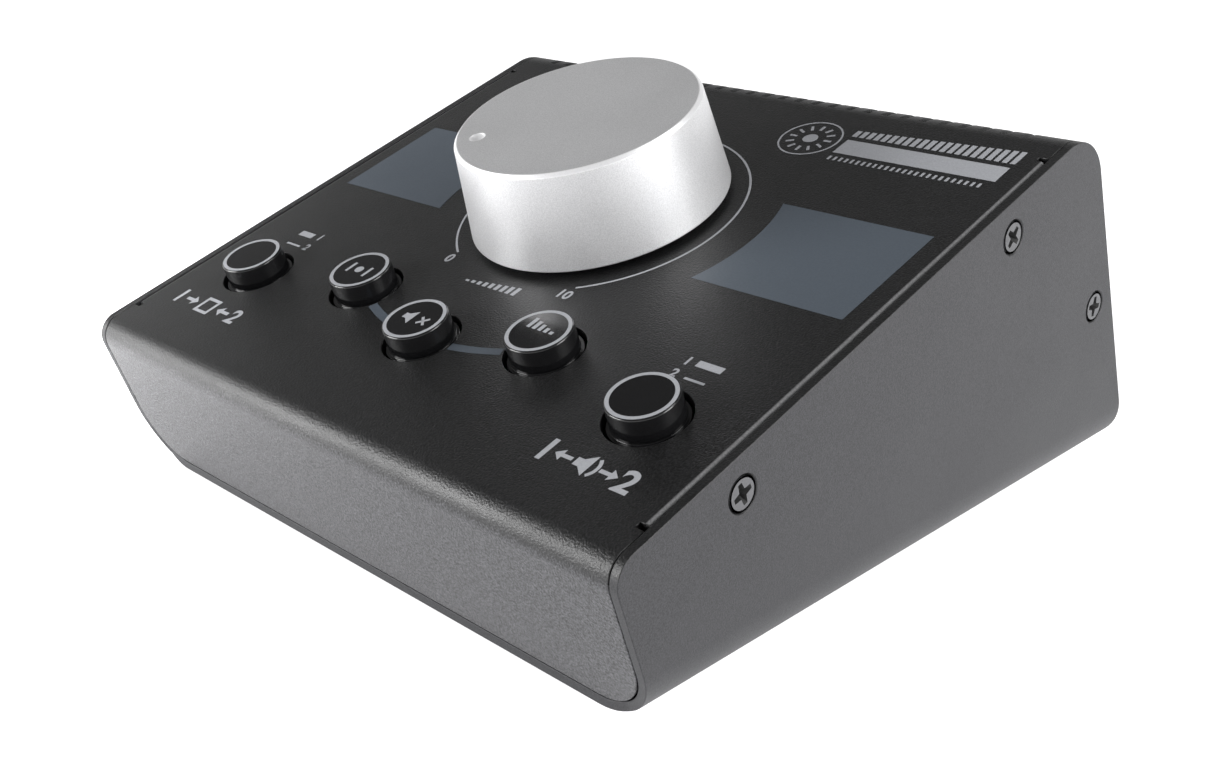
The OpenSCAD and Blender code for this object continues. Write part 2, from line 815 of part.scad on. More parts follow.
module coil(r, wire, turns, length) {
    rise = (length - 2 * wire) / turns;
    rings = turns * rings_per_turn;
    points = [
        for (j = [0 : rings], p = coil_ring(r, wire, 360 * j / rings_per_turn, rise))
            p + [0, 0, wire]
    ];
    sides = [
        for (j = [0 : rings - 1], k = [0 : wire_sides - 1])
            let (
                a = j * wire_sides + k,
                b = j * wire_sides + (k + 1) % wire_sides
            )
            each [[a, a + wire_sides, b], [b, a + wire_sides, b + wire_sides]]
    ];
    last = rings * wire_sides;
    polyhedron(
        points,
        concat(
            [[for (k = [0 : wire_sides - 1]) k]],
            sides,
            [[for (k = [wire_sides - 1 : -1 : 0]) last + k]]
        )
    );
}

module return_spring(i)
    color([0.7, 0.7, 0.7])
        on_top(buttons[i][0], buttons[i][1], spring_low)
            coil(spring_r, spring_wire_r, spring_turns, spring_l);

switch_pin_places = [
    for (b = buttons, x = switch_pin_x, s = switch_pin_rows) [b[0] + x, b[1] + s]
];

module switch_pins()
    color([0.8, 0.78, 0.7])
        for (p = switch_pin_places)
            on_top(p[0], p[1])
                centred_box(switch_pin, switch_pin, board_t + pin_end, board_low - pin_end);

// ---- boards -----------------------------------------------------------------

// A hole through a board whose upper face is at z = 0
module board_hole(r)
    translate([0, 0, -board_t - past]) cylinder(h = board_t + 2 * past, r = r);

module control_board()
    color([0.1, 0.35, 0.2])
        difference() {
            on_top(0, board_front, board_low)
                translate([-board_half, 0, 0])
                    cube([2 * board_half, board_back - board_front, board_t]);
            for (p = switch_pin_places)
                on_top(p[0], p[1], board_top) board_hole(pin_hole_r);
            for (p = pot_pin_places)
                on_top(p[0], p[1], board_top) board_hole(pin_hole_r);
            for (x = header_cols_x, row = header_rows)
                on_top(header_x + x, control_header_s + row, board_top) board_hole(pin_hole_r);
            for (p = standoffs)
                on_top(p[0], p[1], board_top) board_hole(screw_hole_r);
        }

module control_board_parts()
    color([0.75, 0.7, 0.6])
        for (i = [0 : chip_n - 1], s = chip_rows)
            on_top(-standoff_x + i * chip_pitch, s, board_low)
                centred_box(chip_w, chip_l, chip_h, -chip_h);

module board_standoffs()
    color([0.75, 0.72, 0.62])
        for (p = standoffs)
            on_top(p[0], p[1], board_top)
                difference() {
                    hex(standoff_af, board_drop);
                    translate([0, 0, -past])
                        cylinder(h = board_screw_l + past, r = screw_r + thread_gap);
                }

module board_screws()
    color([0.72, 0.72, 0.74])
        for (p = standoffs)
            on_top(p[0], p[1], board_low)
                difference() {
                    union() {
                        translate([0, 0, -pan_head_h]) cylinder(h = pan_head_h, r = pan_head_r);
                        translate([0, 0, -slack]) cylinder(h = board_screw_l, r = screw_r);
                    }
                    translate([0, 0, -pan_head_h]) mirror([0, 0, 1]) cross_recess();
                }

// ---- jacks ------------------------------------------------------------------

module on_jack(i) on_rear(jack_first + i * jack_pitch, jack_t) children();

module jack_housing(i)
    color([0.12, 0.12, 0.13])
        on_jack(i)
            difference() {
                centred_box(jack_side, jack_side, jack_depth, -sheet_t - jack_depth);
                translate([0, 0, -sheet_t - jack_seat])
                    cylinder(h = jack_seat + past, r = bushing_r + seat_fit);
                translate([0, 0, -sheet_t - jack_depth + jack_end_wall])
                    cylinder(h = jack_depth, r = jack_chamber_r);
                // pockets for the contact springs, open at the bottom
                for (c = spring_contacts)
                    translate([0, 0, c[1]]) rotate([0, c[0], 0])
                        translate([
                            jack_chamber_r - contact_bump, -jack_side / 2 - past,
                            -contact_l / 2 - end_gap
                        ])
                            cube([
                                contact_x + contact_t + end_gap - jack_chamber_r + contact_bump,
                                jack_side / 2 + past + contact_high + end_gap,
                                contact_l + 2 * end_gap
                            ]);
                translate([
                    -contact_leg_w / 2 - end_gap, -jack_side / 2 - past,
                    sleeve_out - contact_t / 2 - end_gap
                ])
                    cube([
                        contact_leg_w + 2 * end_gap, jack_side / 2 + past - bushing_r + end_gap,
                        contact_t + 2 * end_gap
                    ]);
            }

contact_legs = concat(
    [for (c = spring_contacts) [(contact_x + contact_t / 2) * cos(c[0]), c[1]]],
    [[0, sleeve_out]]
);

module jack_contacts() {
    leg_low = -jack_side / 2 - board_t - pin_end;
    color([0.8, 0.78, 0.68])
        for (i = [0 : jack_n - 1])
            on_jack(i) {
                for (c = spring_contacts)
                    translate([0, 0, c[1]]) rotate([0, c[0], 0]) {
                        translate([contact_x, contact_foot, -contact_l / 2])
                            cube([contact_t, contact_high - contact_foot, contact_l]);
                        translate([contact_x, leg_low, -contact_leg_w / 2])
                            cube([contact_t, contact_foot - leg_low + slack, contact_leg_w]);
                        // the bump that bears on the plug
                        translate([contact_x - contact_bump, -contact_bump, -contact_bump])
                            cube([contact_bump + slack, 2 * contact_bump, 2 * contact_bump]);
                    }
                translate([-contact_leg_w / 2, leg_low, sleeve_out - contact_t / 2])
                    cube([contact_leg_w, -leg_low - bushing_r - seat_fit, contact_t]);
            }
}

module jack_bushings()
    color([0.78, 0.78, 0.8])
        for (i = [0 : jack_n - 1])
            on_jack(i)
                difference() {
                    rotate_extrude()
                        polygon([
                            [0, bushing_low], [bushing_r, bushing_low],
                            [bushing_r, bushing_nose - bushing_edge],
                            [bushing_r - bushing_edge, bushing_nose], [0, bushing_nose]
                        ]);
                    translate([0, 0, bushing_low - past])
                        cylinder(h = bushing_nose - bushing_low + 2 * past, r = jack_bore_r);
                }

module jack_washers()
    color([0.75, 0.75, 0.76])
        for (i = [0 : jack_n - 1])
            on_jack(i) tube(jack_washer_r, bushing_r + loose_fit, jack_washer_h);

module jack_nuts()
    color([0.74, 0.74, 0.76])
        for (i = [0 : jack_n - 1])
            on_jack(i)
                translate([0, 0, jack_washer_h])
                    difference() {
                        hex(jack_nut_af, jack_nut_h);
                        translate([0, 0, -past])
                            cylinder(h = jack_nut_h + 2 * past, r = bushing_r + thread_gap);
                    }

// The board that the jacks stand on lies square to the back panel, below their row. Its own
// frame has Z up out of its upper face, and Y from the back panel inwards
module on_jack_board(x = 0, depth = 0)
    on_rear(x, jack_board_t, -depth) rotate([-90, 0, 0]) children();

module jack_board()
    color([0.1, 0.35, 0.2])
        difference() {
            on_jack_board(0, sheet_t + jack_board_gap)
                translate([-jack_board_half, 0, -board_t])
                    cube([
                        2 * jack_board_half, jack_board_depth - sheet_t - jack_board_gap, board_t
                    ]);
            for (i = [0 : jack_n - 1], p = contact_legs)
                on_jack(i)
                    translate([p[0], -jack_side / 2, p[1]])
                        rotate([-90, 0, 0]) board_hole(pin_hole_r);
            for (x = header_cols_x, leg = jack_header_legs)
                on_jack_board(header_x + x, jack_header_depth - leg) board_hole(pin_hole_r);
        }

module jack_board_parts()
    color([0.75, 0.7, 0.6])
        for (i = [0 : jack_n / 2], depth = chip_depths)
            on_jack_board(jack_first + i * jack_pitch, depth) centred_box(chip_l, chip_w, chip_h);

// ---- ribbon link between the boards -----------------------------------------

// Places its children where a header's pins come through its floor, and just below it
module at_header_pins()
    for (x = header_cols_x, row = header_rows) translate([x, row, -past / 2]) children();

// A header in its own frame: it stands on z = 0 and opens upwards
module header_shroud()
    difference() {
        centred_box(header_l, header_w, header_h);
        centred_box(
            header_l - 2 * header_wall, header_w - 2 * header_wall, header_h, header_floor
        );
        at_header_pins() cylinder(h = header_floor + past, r = pin_hole_r);
    }

module ribbon_plug()
    translate([0, 0, header_h - plug_in])
        difference() {
            centred_box(plug_l, plug_w, plug_in + plug_out);
            at_header_pins() cylinder(h = header_pin_up, r = pin_hole_r);
        }

module on_control_header()
    on_top(header_x, control_header_s, board_low) rotate([180, 0, 0]) children();
module on_jack_header()
    on_jack_board(header_x, jack_header_depth)
        translate([0, 0, header_w / 2]) rotate([-90, 0, 0]) children();

module control_header() color([0.1, 0.1, 0.11]) on_control_header() header_shroud();
module jack_header() color([0.1, 0.1, 0.11]) on_jack_header() header_shroud();

module header_pins()
    color([0.85, 0.7, 0.35]) {
        on_control_header()
            for (x = header_cols_x, row = header_rows)
                translate([x, row, 0])
                    centred_box(
                        header_pin, header_pin, board_t + pin_end + header_pin_up,
                        -board_t - pin_end
                    );
        // these pins are bent down behind their header
        on_jack_board(header_x, jack_header_depth)
            for (x = header_cols_x, i = [0, 1]) {
                high = header_w / 2 + header_rows[i];
                leg = jack_header_legs[i];
                translate([x - header_pin / 2, -leg - header_pin / 2, high - header_pin / 2])
                    cube([header_pin, leg + header_pin / 2 + header_pin_up, header_pin]);
                translate([x, -leg, -board_t - pin_end])
                    centred_box(header_pin, header_pin, high + board_t + pin_end);
            }
    }

module ribbon_plugs()
    color([0.13, 0.13, 0.14]) {
        on_control_header() ribbon_plug();
        on_jack_header() ribbon_plug();
    }

module ribbon_cable() {
    plug_face = header_h + plug_out;
    from = rear_point(jack_board_t + header_w / 2, -jack_header_depth - plug_face);
    to = top_point(control_header_s, board_low - plug_face);
    // the straight ways out of the two plugs meet at the corner
    u = [-cos(rear_lean), -sin(rear_lean)];
    v = [sin(top_slope), -cos(top_slope)];
    corner = from + u * cross(to - from, v) / cross(u, v);
    // the bend ends before the plugs
    straight = min(norm(corner - from), norm(corner - to));
    bend_r = min(ribbon_bend_r, straight * tan(corner_half(from, corner, to)));
    half_t = ribbon_t / 2;
    color([0.6, 0.62, 0.65])
        in_place()
            across(ribbon_w, header_x)
                polygon(once_bent(
                    square_off(from, corner, to, -half_t), inward(from, corner, to, -half_t),
                    square_off(to, corner, from, -half_t), bend_r + half_t, ribbon_t
                ));
}

// ---- the parts --------------------------------------------------------------

top_cover();
base_tray();
side_screws();
press_nuts();
rubber_feet();
volume_knob_shell();
volume_knob_core();
volume_shaft();
volume_wipers();
volume_pot_body();
volume_pot_bushing();
volume_pot_washer();
volume_pot_nut();
volume_pot_pins();
button_cap(0);  // source_button
button_cap(1);  // mono_button
button_cap(2);  // mute_button
button_cap(3);  // dim_button
button_cap(4);  // monitor_button
plunger(0);  // source_plunger
plunger(1);  // mono_plunger
plunger(2);  // mute_plunger
plunger(3);  // dim_plunger
plunger(4);  // monitor_plunger
return_spring(0);  // source_spring
return_spring(1);  // mono_spring
return_spring(2);  // mute_spring
return_spring(3);  // dim_spring
return_spring(4);  // monitor_spring
switch_housing(0);  // source_switch
switch_housing(1);  // mono_switch
switch_housing(2);  // mute_switch
switch_housing(3);  // dim_switch
switch_housing(4);  // monitor_switch
switch_pins();
control_board();
control_board_parts();
board_standoffs();
board_screws();
jack_housing(0);  // source_a_left_jack
jack_housing(1);  // source_a_right_jack
jack_housing(2);  // source_b_left_jack
jack_housing(3);  // source_b_right_jack
jack_housing(4);  // monitor_a_left_jack
jack_housing(5);  // monitor_a_right_jack
jack_housing(6);  // monitor_b_left_jack
jack_housing(7);  // monitor_b_right_jack
jack_bushings();
jack_contacts();
jack_washers();
jack_nuts();
jack_board();
jack_board_parts();
control_header();
jack_header();
header_pins();
ribbon_plugs();
ribbon_cable();
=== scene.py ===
"""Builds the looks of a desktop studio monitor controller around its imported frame.

All lengths are in metres. Two frames follow the case: on the panel, x runs to the right, s up
the slope from the top's sharp front corner and h off the panel; on the back, x runs to the
right, t up the back panel from its foot and out away from it.
"""

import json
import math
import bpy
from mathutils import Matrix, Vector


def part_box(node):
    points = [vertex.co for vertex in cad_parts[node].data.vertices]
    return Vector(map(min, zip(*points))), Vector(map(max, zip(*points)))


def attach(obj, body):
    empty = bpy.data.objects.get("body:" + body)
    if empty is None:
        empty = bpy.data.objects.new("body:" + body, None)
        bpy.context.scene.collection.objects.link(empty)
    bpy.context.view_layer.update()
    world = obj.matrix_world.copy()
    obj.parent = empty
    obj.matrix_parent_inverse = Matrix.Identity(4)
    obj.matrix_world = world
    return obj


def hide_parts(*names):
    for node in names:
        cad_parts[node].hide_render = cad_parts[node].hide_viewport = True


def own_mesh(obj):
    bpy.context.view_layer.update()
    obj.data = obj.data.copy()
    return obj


bl_info = {
    "name": "Monitor Controller",
    "version": (1, 0, 0),
    "blender": (4, 5, 0),
    "location": "3D View > Sidebar > Controller",
    "description": "Builds a desktop monitor controller with knob, push buttons and jacks",
    "category": "Add Mesh",
}

import bmesh
import bpy
from bpy.props import FloatProperty, FloatVectorProperty, IntProperty, PointerProperty
from mathutils import Matrix, Vector
from mathutils.geometry import delaunay_2d_cdt

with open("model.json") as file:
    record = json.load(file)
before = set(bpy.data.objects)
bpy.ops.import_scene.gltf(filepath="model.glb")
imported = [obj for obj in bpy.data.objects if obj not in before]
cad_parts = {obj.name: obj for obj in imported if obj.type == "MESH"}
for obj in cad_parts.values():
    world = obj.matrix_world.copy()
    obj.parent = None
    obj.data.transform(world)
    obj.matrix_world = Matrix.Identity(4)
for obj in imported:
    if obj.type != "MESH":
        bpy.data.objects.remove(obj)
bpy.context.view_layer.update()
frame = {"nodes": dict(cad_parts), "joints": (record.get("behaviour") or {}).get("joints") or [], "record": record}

MM = 0.001
KEYS = ("source", "mono", "mute", "dim", "monitor")
JOINTS = {joint["name"]: joint for joint in frame["joints"]}
BORES = [mount for mount in frame["record"]["mounts"] if mount["kind"] == "bore"]

# ---- the two frames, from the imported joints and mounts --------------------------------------

ACROSS = Vector((1, 0, 0))
OFF_PANEL = -Vector(JOINTS["volume_turn"]["axis"]).normalized()
UP_SLOPE = OFF_PANEL.cross(ACROSS)
KNOB_FOOT = Vector(JOINTS["volume_turn"]["pos_m"])
OFF_BACK = Vector(BORES[0]["axis"]).normalized()
UP_BACK = ACROSS.cross(OFF_BACK)
SLOPE = math.atan2(UP_SLOPE.z, UP_SLOPE.y)
LEAN = math.atan2(OFF_BACK.z, OFF_BACK.y)
FLOOR_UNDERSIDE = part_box("base_tray")[0].z
JACKS_IN_BORE = 2 * MM  # the bores are measured from this far inside the back panel's face
SHAFT_HOLE, JACK_HOLE, NUT_HOLE = 4.5 * MM, 4.8 * MM, 2.13 * MM  # radii in the cover
SCREW_HOLE = 1.75 * MM  # radius in the tray
REAR_TAB = 26 * MM  # length of the tabs that take the rear side screws
WIRE_PITCH = 1.27 * MM  # of the ribbon cable


# ---- settings ------------------------------------------------------------------------------

def size(name, default, text):
    return FloatProperty(
        name=name, description=text, default=default, min=0, unit="LENGTH", precision=5
    )


def number(name, default, text):
    return FloatProperty(name=name, description=text, default=default)


def colour(name, default, text):
    return FloatVectorProperty(
        name=name, description=text, default=default, size=3, min=0, max=1, subtype="COLOR"
    )


def angle(name, default, text):
    return FloatProperty(
        name=name, description=text, default=math.radians(default), subtype="ANGLE"
    )


class ControllerCaseSettings(bpy.types.PropertyGroup):
    """Sizes and colours of the two bent sheets."""

    half_width: size("Half width", 70 * MM, "Half of the outer width of the case")
    top_length: size("Top length", 127 * MM, "Length of the sloping top between its sharp corners")
    sheet: size("Sheet", 1.6 * MM, "Thickness of both sheets")
    seam: size("Seam", 0.15 * MM, "Gap between the cover and the tray")
    tray_bend: size("Tray bend", 12 * MM, "Outer radius of the tray's bends")
    front_bend: size("Front bend", 4.4 * MM, "Outer radius of the bend above the front lip")
    rear_bend: size("Rear bend", 10 * MM, "Outer radius of the bend above the back")
    flange_bend: size("Flange bend", 1.0 * MM, "Outer radius of the bends of the side flanges")
    flange_depth: size("Flange depth", 12 * MM, "Depth of the cover's side flanges")
    flange_front: size("Flange start", 9.5 * MM, "Where the side flanges start, up the slope")
    flange_rear: size("Flange end", 14.7 * MM, "How far before the rear corner the flanges end")
    notch_width: size("Notch width", 1.1 * MM, "Width of the relief notches")
    notch_depth: size("Notch depth", 1.7 * MM, "Depth of the relief notches")
    edge: size("Edge rounding", 0.17 * MM, "Rounding that the coat gives the sheets' edges")
    paint_end: size("Paint end", 2.9 * MM, "How far down the front bend the black top coat ends")
    overspray: size("Overspray", 1.7 * MM, "Width of the speckled change from grey to black")
    black: colour("Black coat", (0.0036, 0.0036, 0.0038), "Colour of the black top coat")
    grey: colour("Grey coat", (0.034, 0.034, 0.037), "Colour of the grey coat")
    pebble: size("Pebble size", 0.36 * MM, "Size of the pebbles in the coats' texture")
    vent_count: IntProperty(name="Vents", description="Number of vent slots", default=30, min=1)
    vent_pitch: size("Vent pitch", 4.15 * MM, "Distance between two vent slots")
    vent_width: size("Vent width", 1.5 * MM, "Width of a vent slot")
    vent_height: size("Vent height", 13.5 * MM, "Height of a vent slot up the back")
    vent_start: angle("Vent start", 7.9, "How far round the rear bend the slots start")
    screw_inset: size("Screw inset", 6.3 * MM, "Distance of the side screws from the case's edges")
    front_screw: size("Front screw", 25.6 * MM, "Place of the front side screws, up the slope")
    back_screw: size("Back screw", 98.1 * MM, "Place of the back side screws, up the slope")
    rear_screw: size("Rear screw", 39 * MM, "Place of the rear side screws, up the back")
    screw_head: size("Screw head", 3.08 * MM, "Radius of a screw's head")
    countersink: size("Countersink", 3.16 * MM, "Radius of the countersinks")


class ControllerKnobSettings(bpy.types.PropertyGroup):
    """Sizes and colours of the volume knob."""

    place: size("Place", 72.3 * MM, "Distance of the knob's axis from the top's front corner")
    base_radius: size("Base radius", 24.7 * MM, "Radius of the knob at its foot")
    top_radius: size("Top radius", 22.9 * MM, "Radius of the knob at its top")
    height: size("Height", 19.3 * MM, "Height of the knob's top above the panel")
    gap: size("Gap", 1.2 * MM, "Gap between the knob and the panel")
    wall: size("Wall", 1.6 * MM, "Wall of the metal shell")
    roof: size("Roof", 2 * MM, "Thickness of the shell's top")
    bevel: size("Bevel", 0.6 * MM, "Bevel around the knob's top")
    dimple_place: size("Dimple place", 18.4 * MM, "Distance of the dimple from the axis")
    dimple_radius: size("Dimple radius", 1.5 * MM, "Radius of the pointer dimple")
    dimple_depth: size("Dimple depth", 0.6 * MM, "Depth of the pointer dimple")
    pointer: angle("Pointer", -137, "Where the pointer stands, clockwise from up the slope")
    metal: colour("Aluminium", (0.73, 0.73, 0.74), "Colour of the blasted aluminium")


class ControllerButtonSettings(bpy.types.PropertyGroup):
    """Sizes and colours of the push buttons."""

    radius: size("Cap radius", 5.9 * MM, "Radius of a cap")
    ledge: size("Ledge", 0.7 * MM, "How far the collar stands out of the cap")
    gap: size("Gap", 0.5 * MM, "Gap between the collar and the hole in the panel")
    height: size("Height", 3.8 * MM, "Height of a cap above the panel")
    foot: size("Foot", 1.5 * MM, "Depth of a cap's foot below the panel's face")
    bevel: size("Bevel", 0.35 * MM, "Rounding of a cap's top edge")
    ring_radius: size("Ring radius", 5.62 * MM, "Outer radius of the printed ring")
    ring_width: size("Ring width", 0.66 * MM, "Width of the printed ring")
    plastic: colour("Cap plastic", (0.006, 0.006, 0.0065), "Colour of the glossy caps")
    spring_radius: size("Spring radius", 1.9 * MM, "Radius of a spring to the middle of its wire")
    spring_wire: size("Spring wire", 0.2 * MM, "Radius of the springs' wire")
    spring_turns: number("Spring turns", 5.0, "Turns of a return spring")


class ControllerPrintSettings(bpy.types.PropertyGroup):
    """Sizes and colours of what is printed on the panel."""

    film: size("Film", 0.03 * MM, "Thickness of the ink")
    dial_radius: size("Dial radius", 28 * MM, "Radius of the line around the knob")
    dial_width: size("Dial width", 0.42 * MM, "Width of the line around the knob")
    dial_reach: angle("Dial reach", 146, "How far the line runs to each side of the top")
    light: colour("Light ink", (0.345, 0.353, 0.375), "Colour of the light ink")
    slate: colour("Slate ink", (0.068, 0.083, 0.102), "Colour of the slate fields")


class ControllerBackSettings(bpy.types.PropertyGroup):
    """Sizes of the hardware on the back and under the floor."""

    bore: size("Bore", 3.25 * MM, "Radius of the bores that take a plug")
    bushing: size("Bushing", 4.7 * MM, "Outer radius of a threaded bushing")
    nose: size("Nose", 5 * MM, "How far a bushing stands out of the back")
    seat: size("Seat", 9 * MM, "How far a bushing reaches inwards from the back's face")
    nut_flats: size("Nut", 12.7 * MM, "Width of a nut across its flats")
    nut_height: size("Nut height", 2.2 * MM, "Height of a nut")
    washer: size("Washer", 6.9 * MM, "Outer radius of a washer")
    washer_height: size("Washer height", 0.7 * MM, "Thickness of a washer")
    foot_radius: size("Foot radius", 6 * MM, "Radius of a rubber foot")


class ControllerStageSettings(bpy.types.PropertyGroup):
    """The floor and the light."""

    floor: colour("Floor", (0.55, 0.55, 0.555), "Colour of the floor")
    glow: number("Glow", 0.87, "Light that the floor gives off as a light table")
    sky_low: number("Low sky", 1.0, "Brightness of the sky at the horizon")
    sky_high: number("High sky", 0.13, "Brightness of the sky overhead")
    key: number("Key light", 8.8, "Watts of the light at the front left")
    side: number("Side light", 8.2, "Watts of the light at the back right")
    rim: number("Rim light", 2.7, "Watts of the light high at the right")
    fill: number("Fill light", 1.0, "Watts of the light over the floor at the left")


GROUPS = {
    "controller_case": ControllerCaseSettings,
    "controller_knob": ControllerKnobSettings,
    "controller_buttons": ControllerButtonSettings,
    "controller_print": ControllerPrintSettings,
    "controller_back": ControllerBackSettings,
    "controller_stage": ControllerStageSettings,
}


# ---- places --------------------------------------------------------------------------------

def panel_corner():
    """The top's sharp front corner, in the middle of the case."""
    return KNOB_FOOT - UP_SLOPE * bpy.context.scene.controller_knob.place


def panel_frame(x=0.0, s=0.0, h=0.0):
    """Turns (x, s, h) on the panel into the row frame, from the given point on."""
    spot = panel_corner() + ACROSS * x + UP_SLOPE * s + OFF_PANEL * h
    return frame_matrix(ACROSS, UP_SLOPE, OFF_PANEL, spot)


def rear_corner():
    return panel_corner() + UP_SLOPE * bpy.context.scene.controller_case.top_length


def back_foot():
    """Where the back panel's face meets the top of the tray's floor."""
    low = FLOOR_UNDERSIDE + bpy.context.scene.controller_case.sheet
    return rear_corner() - UP_BACK * ((rear_corner().z - low) / UP_BACK.z)


def button_places():
    """The middle of each cap on the panel, as (x, s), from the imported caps."""
    places = []
    for key in KEYS:
        low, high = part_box(key + "_button")
        middle = (low + high) / 2 - panel_corner()
        places.append((middle.x, middle.dot(UP_SLOPE)))
    return places


def jack_places():
    """Where the jacks' axes pass the back panel's face."""
    return [Vector(bore["pos_m"]) + OFF_BACK * JACKS_IN_BORE for bore in BORES]


def side_screw_places():
    """(point on the tray's side, direction out of it) for each side screw."""
    case = bpy.context.scene.controller_case
    spots = [
        panel_frame(0, case.front_screw, -case.screw_inset).translation,
        panel_frame(0, case.back_screw, -case.screw_inset).translation,
        back_foot() + UP_BACK * case.rear_screw - OFF_BACK * case.screw_inset,
    ]
    return [
        (Vector((side * case.half_width, spot.y, spot.z)), ACROSS * side)
        for side in (-1, 1) for spot in spots
    ]


# ---- shape tools ---------------------------------------------------------------------------

def left(v):
    return Vector((-v.y, v.x))


def turned(v, a):
    return Vector((v.x * math.cos(a) - v.y * math.sin(a), v.x * math.sin(a) + v.y * math.cos(a)))


def turn_between(before, after):
    return math.atan2(before.cross(after), before.dot(after))


class Section:
    """The side view of a bent sheet, measured along its outer face: flats joined by round bends."""

    def __init__(self, corners, radii, steps):
        self.parts, self.folds = [], []
        length, start = 0.0, corners[0]
        for i, (radius, n) in enumerate(zip(radii, steps), 1):
            before = (corners[i] - corners[i - 1]).normalized()
            after = (corners[i + 1] - corners[i]).normalized()
            turn = turn_between(before, after)
            self.side = math.copysign(1, turn)
            reach = radius * math.tan(abs(turn) / 2)
            bend_at = corners[i] - before * reach
            flat = (bend_at - start).length
            self.parts.append((length, length + flat, start, before, None))
            length += flat
            bend = radius * abs(turn)
            centre = bend_at + left(before) * self.side * radius
            self.parts.append((length, length + bend, centre, before, radius))
            self.folds += [length + bend * k / n for k in range(n + 1)]
            length += bend
            start = corners[i] + after * reach
        after = (corners[-1] - start).normalized()
        self.length = length + (corners[-1] - start).length
        self.parts.append((length, self.length, start, after, None))

    def at(self, w, depth=0.0):
        """The point at length w and this depth below the outer face, and the inward direction."""
        part = next((p for p in self.parts if w <= p[1]), self.parts[-1])
        begin, _, origin, direction, radius = part
        inward = left(direction) * self.side
        if radius is None:
            return origin + direction * (w - begin) + inward * depth, inward
        spoke = turned(-inward, (w - begin) / radius * self.side)
        return origin + spoke * (radius - depth), -spoke


def offset(loop, d):
    """The closed 2-D loop moved to its left by d, with mitred corners."""
    moved = []
    for i, p in enumerate(loop):
        a = left((p - loop[i - 1]).normalized())
        b = left((loop[(i + 1) % len(loop)] - p).normalized())
        mitre = (a + b).normalized()
        moved.append(p + mitre * (d / max(0.35, mitre.dot(a))))
    return moved


def circle(x, y, radius, n=64, clockwise=False):
    turn = -2 * math.pi if clockwise else 2 * math.pi
    return [
        Vector((x + radius * math.cos(turn * k / n), y + radius * math.sin(turn * k / n)))
        for k in range(n)
    ]


def rectangle(wide, tall, x=0.0):
    """The corners of a rectangle around (x, 0)."""
    return [(x + u * wide / 2, v * tall / 2) for u, v in ((-1, -1), (1, -1), (1, 1), (-1, 1))]


def polygon(points):
    """A loop from points in millimetres."""
    return [Vector(p) * MM for p in points]


def frame_matrix(x, y, z, spot):
    """The frame with these axes at the spot."""
    return Matrix.Translation(spot) @ Matrix((x, y, z)).transposed().to_4x4()


def area_sign(loop):
    """1 for a loop that runs counter-clockwise, -1 for a clockwise one."""
    return 1 if sum(loop[i - 1].cross(p) for i, p in enumerate(loop)) > 0 else -1


def split_at(loop, axis, values):
    """The loop with points added where it crosses the lines at these values of its axis."""
    made = []
    for i, a in enumerate(loop):
        b = loop[(i + 1) % len(loop)]
        made.append(a)
        low, high = sorted((a[axis], b[axis]))
        shares = [
            (v - a[axis]) / (b[axis] - a[axis]) for v in values if low + 1e-8 < v < high - 1e-8
        ]
        made += [a.lerp(b, share) for share in sorted(shares)]
    return made


def fill(loops, lines=()):
    """(points, triangles) that fill 2-D loops, whose material lies on their left."""
    points, edges, boxes = [], [], []
    for loop in loops:
        first, n = len(points), len(loop)
        points += [p * 1000 for p in loop]
        edges += [(first + i, first + (i + 1) % n) for i in range(n)]
        boxes.append((min(p.y for p in loop), max(p.y for p in loop), max(p.x for p in loop)))
    for a, b in lines:
        edges.append((len(points), len(points) + 1))
        points += [a * 1000, b * 1000]
    found, _, faces, *_ = delaunay_2d_cdt(points, edges, [], 0, 1e-5)
    found = [Vector(p) / 1000 for p in found]
    kept = []
    for face in faces:
        c = sum((found[i] for i in face), Vector((0, 0))) / len(face)
        inside = False
        for loop, (low, high, right) in zip(loops, boxes):
            if not (low <= c.y <= high and c.x <= right):
                continue
            for i, b in enumerate(loop):
                a = loop[i - 1]
                if (a.y > c.y) != (b.y > c.y):
                    if c.x < a.x + (c.y - a.y) / (b.y - a.y) * (b.x - a.x):
                        inside = not inside
        if inside:
            kept.append(face)
    return found, kept


class Shape:
    """Collects faces whose corners each have their own normal, and makes them one mesh."""

    def __init__(self):
        self.bm = bmesh.new()
        self.facing = self.bm.loops.layers.float_vector.new("facing")
        self.spots = {}

    def vert(self, point):
        key = tuple(round(c * 2e6) for c in point)
        if key not in self.spots:
            self.spots[key] = self.bm.verts.new(point)
        return self.spots[key]

    def face(self, corners, paint=0):
        """corners is [(point, normal)], counter-clockwise seen from outside."""
        verts, normals = [], []
        for point, normal in corners:
            v = self.vert(point)
            if v not in verts:
                verts.append(v)
                normals.append(normal)
        if len(verts) < 3 or self.bm.faces.get(verts):
            return
        f = self.bm.faces.new(verts)
        f.material_index = paint
        for loop, normal in zip(f.loops, normals):
            loop[self.facing] = normal

    def mesh(self, name):
        bmesh.ops.remove_doubles(self.bm, verts=self.bm.verts, dist=1e-6)
        made = bpy.data.meshes.new(name)
        self.bm.to_mesh(made)
        self.bm.free()
        normals = [Vector(corner.vector) for corner in made.attributes["facing"].data]
        made.attributes.remove(made.attributes["facing"])
        made.shade_smooth()
        made.normals_split_custom_set(normals)
        return made


def straight_rim(loop, thickness, edge):
    """The rings of a straight-cut edge with rounded corners, as (loop, depth, tilt)."""
    if not edge:
        return [(loop, 0.0, math.pi / 2), (loop, thickness, math.pi / 2)]
    upper = [
        (offset(loop, edge * (1 - math.sin(a))), edge * (1 - math.cos(a)), a)
        for a in (math.radians(30) * k for k in range(4))
    ]
    return upper + [(ring, thickness - depth, math.pi - a) for ring, depth, a in reversed(upper)]


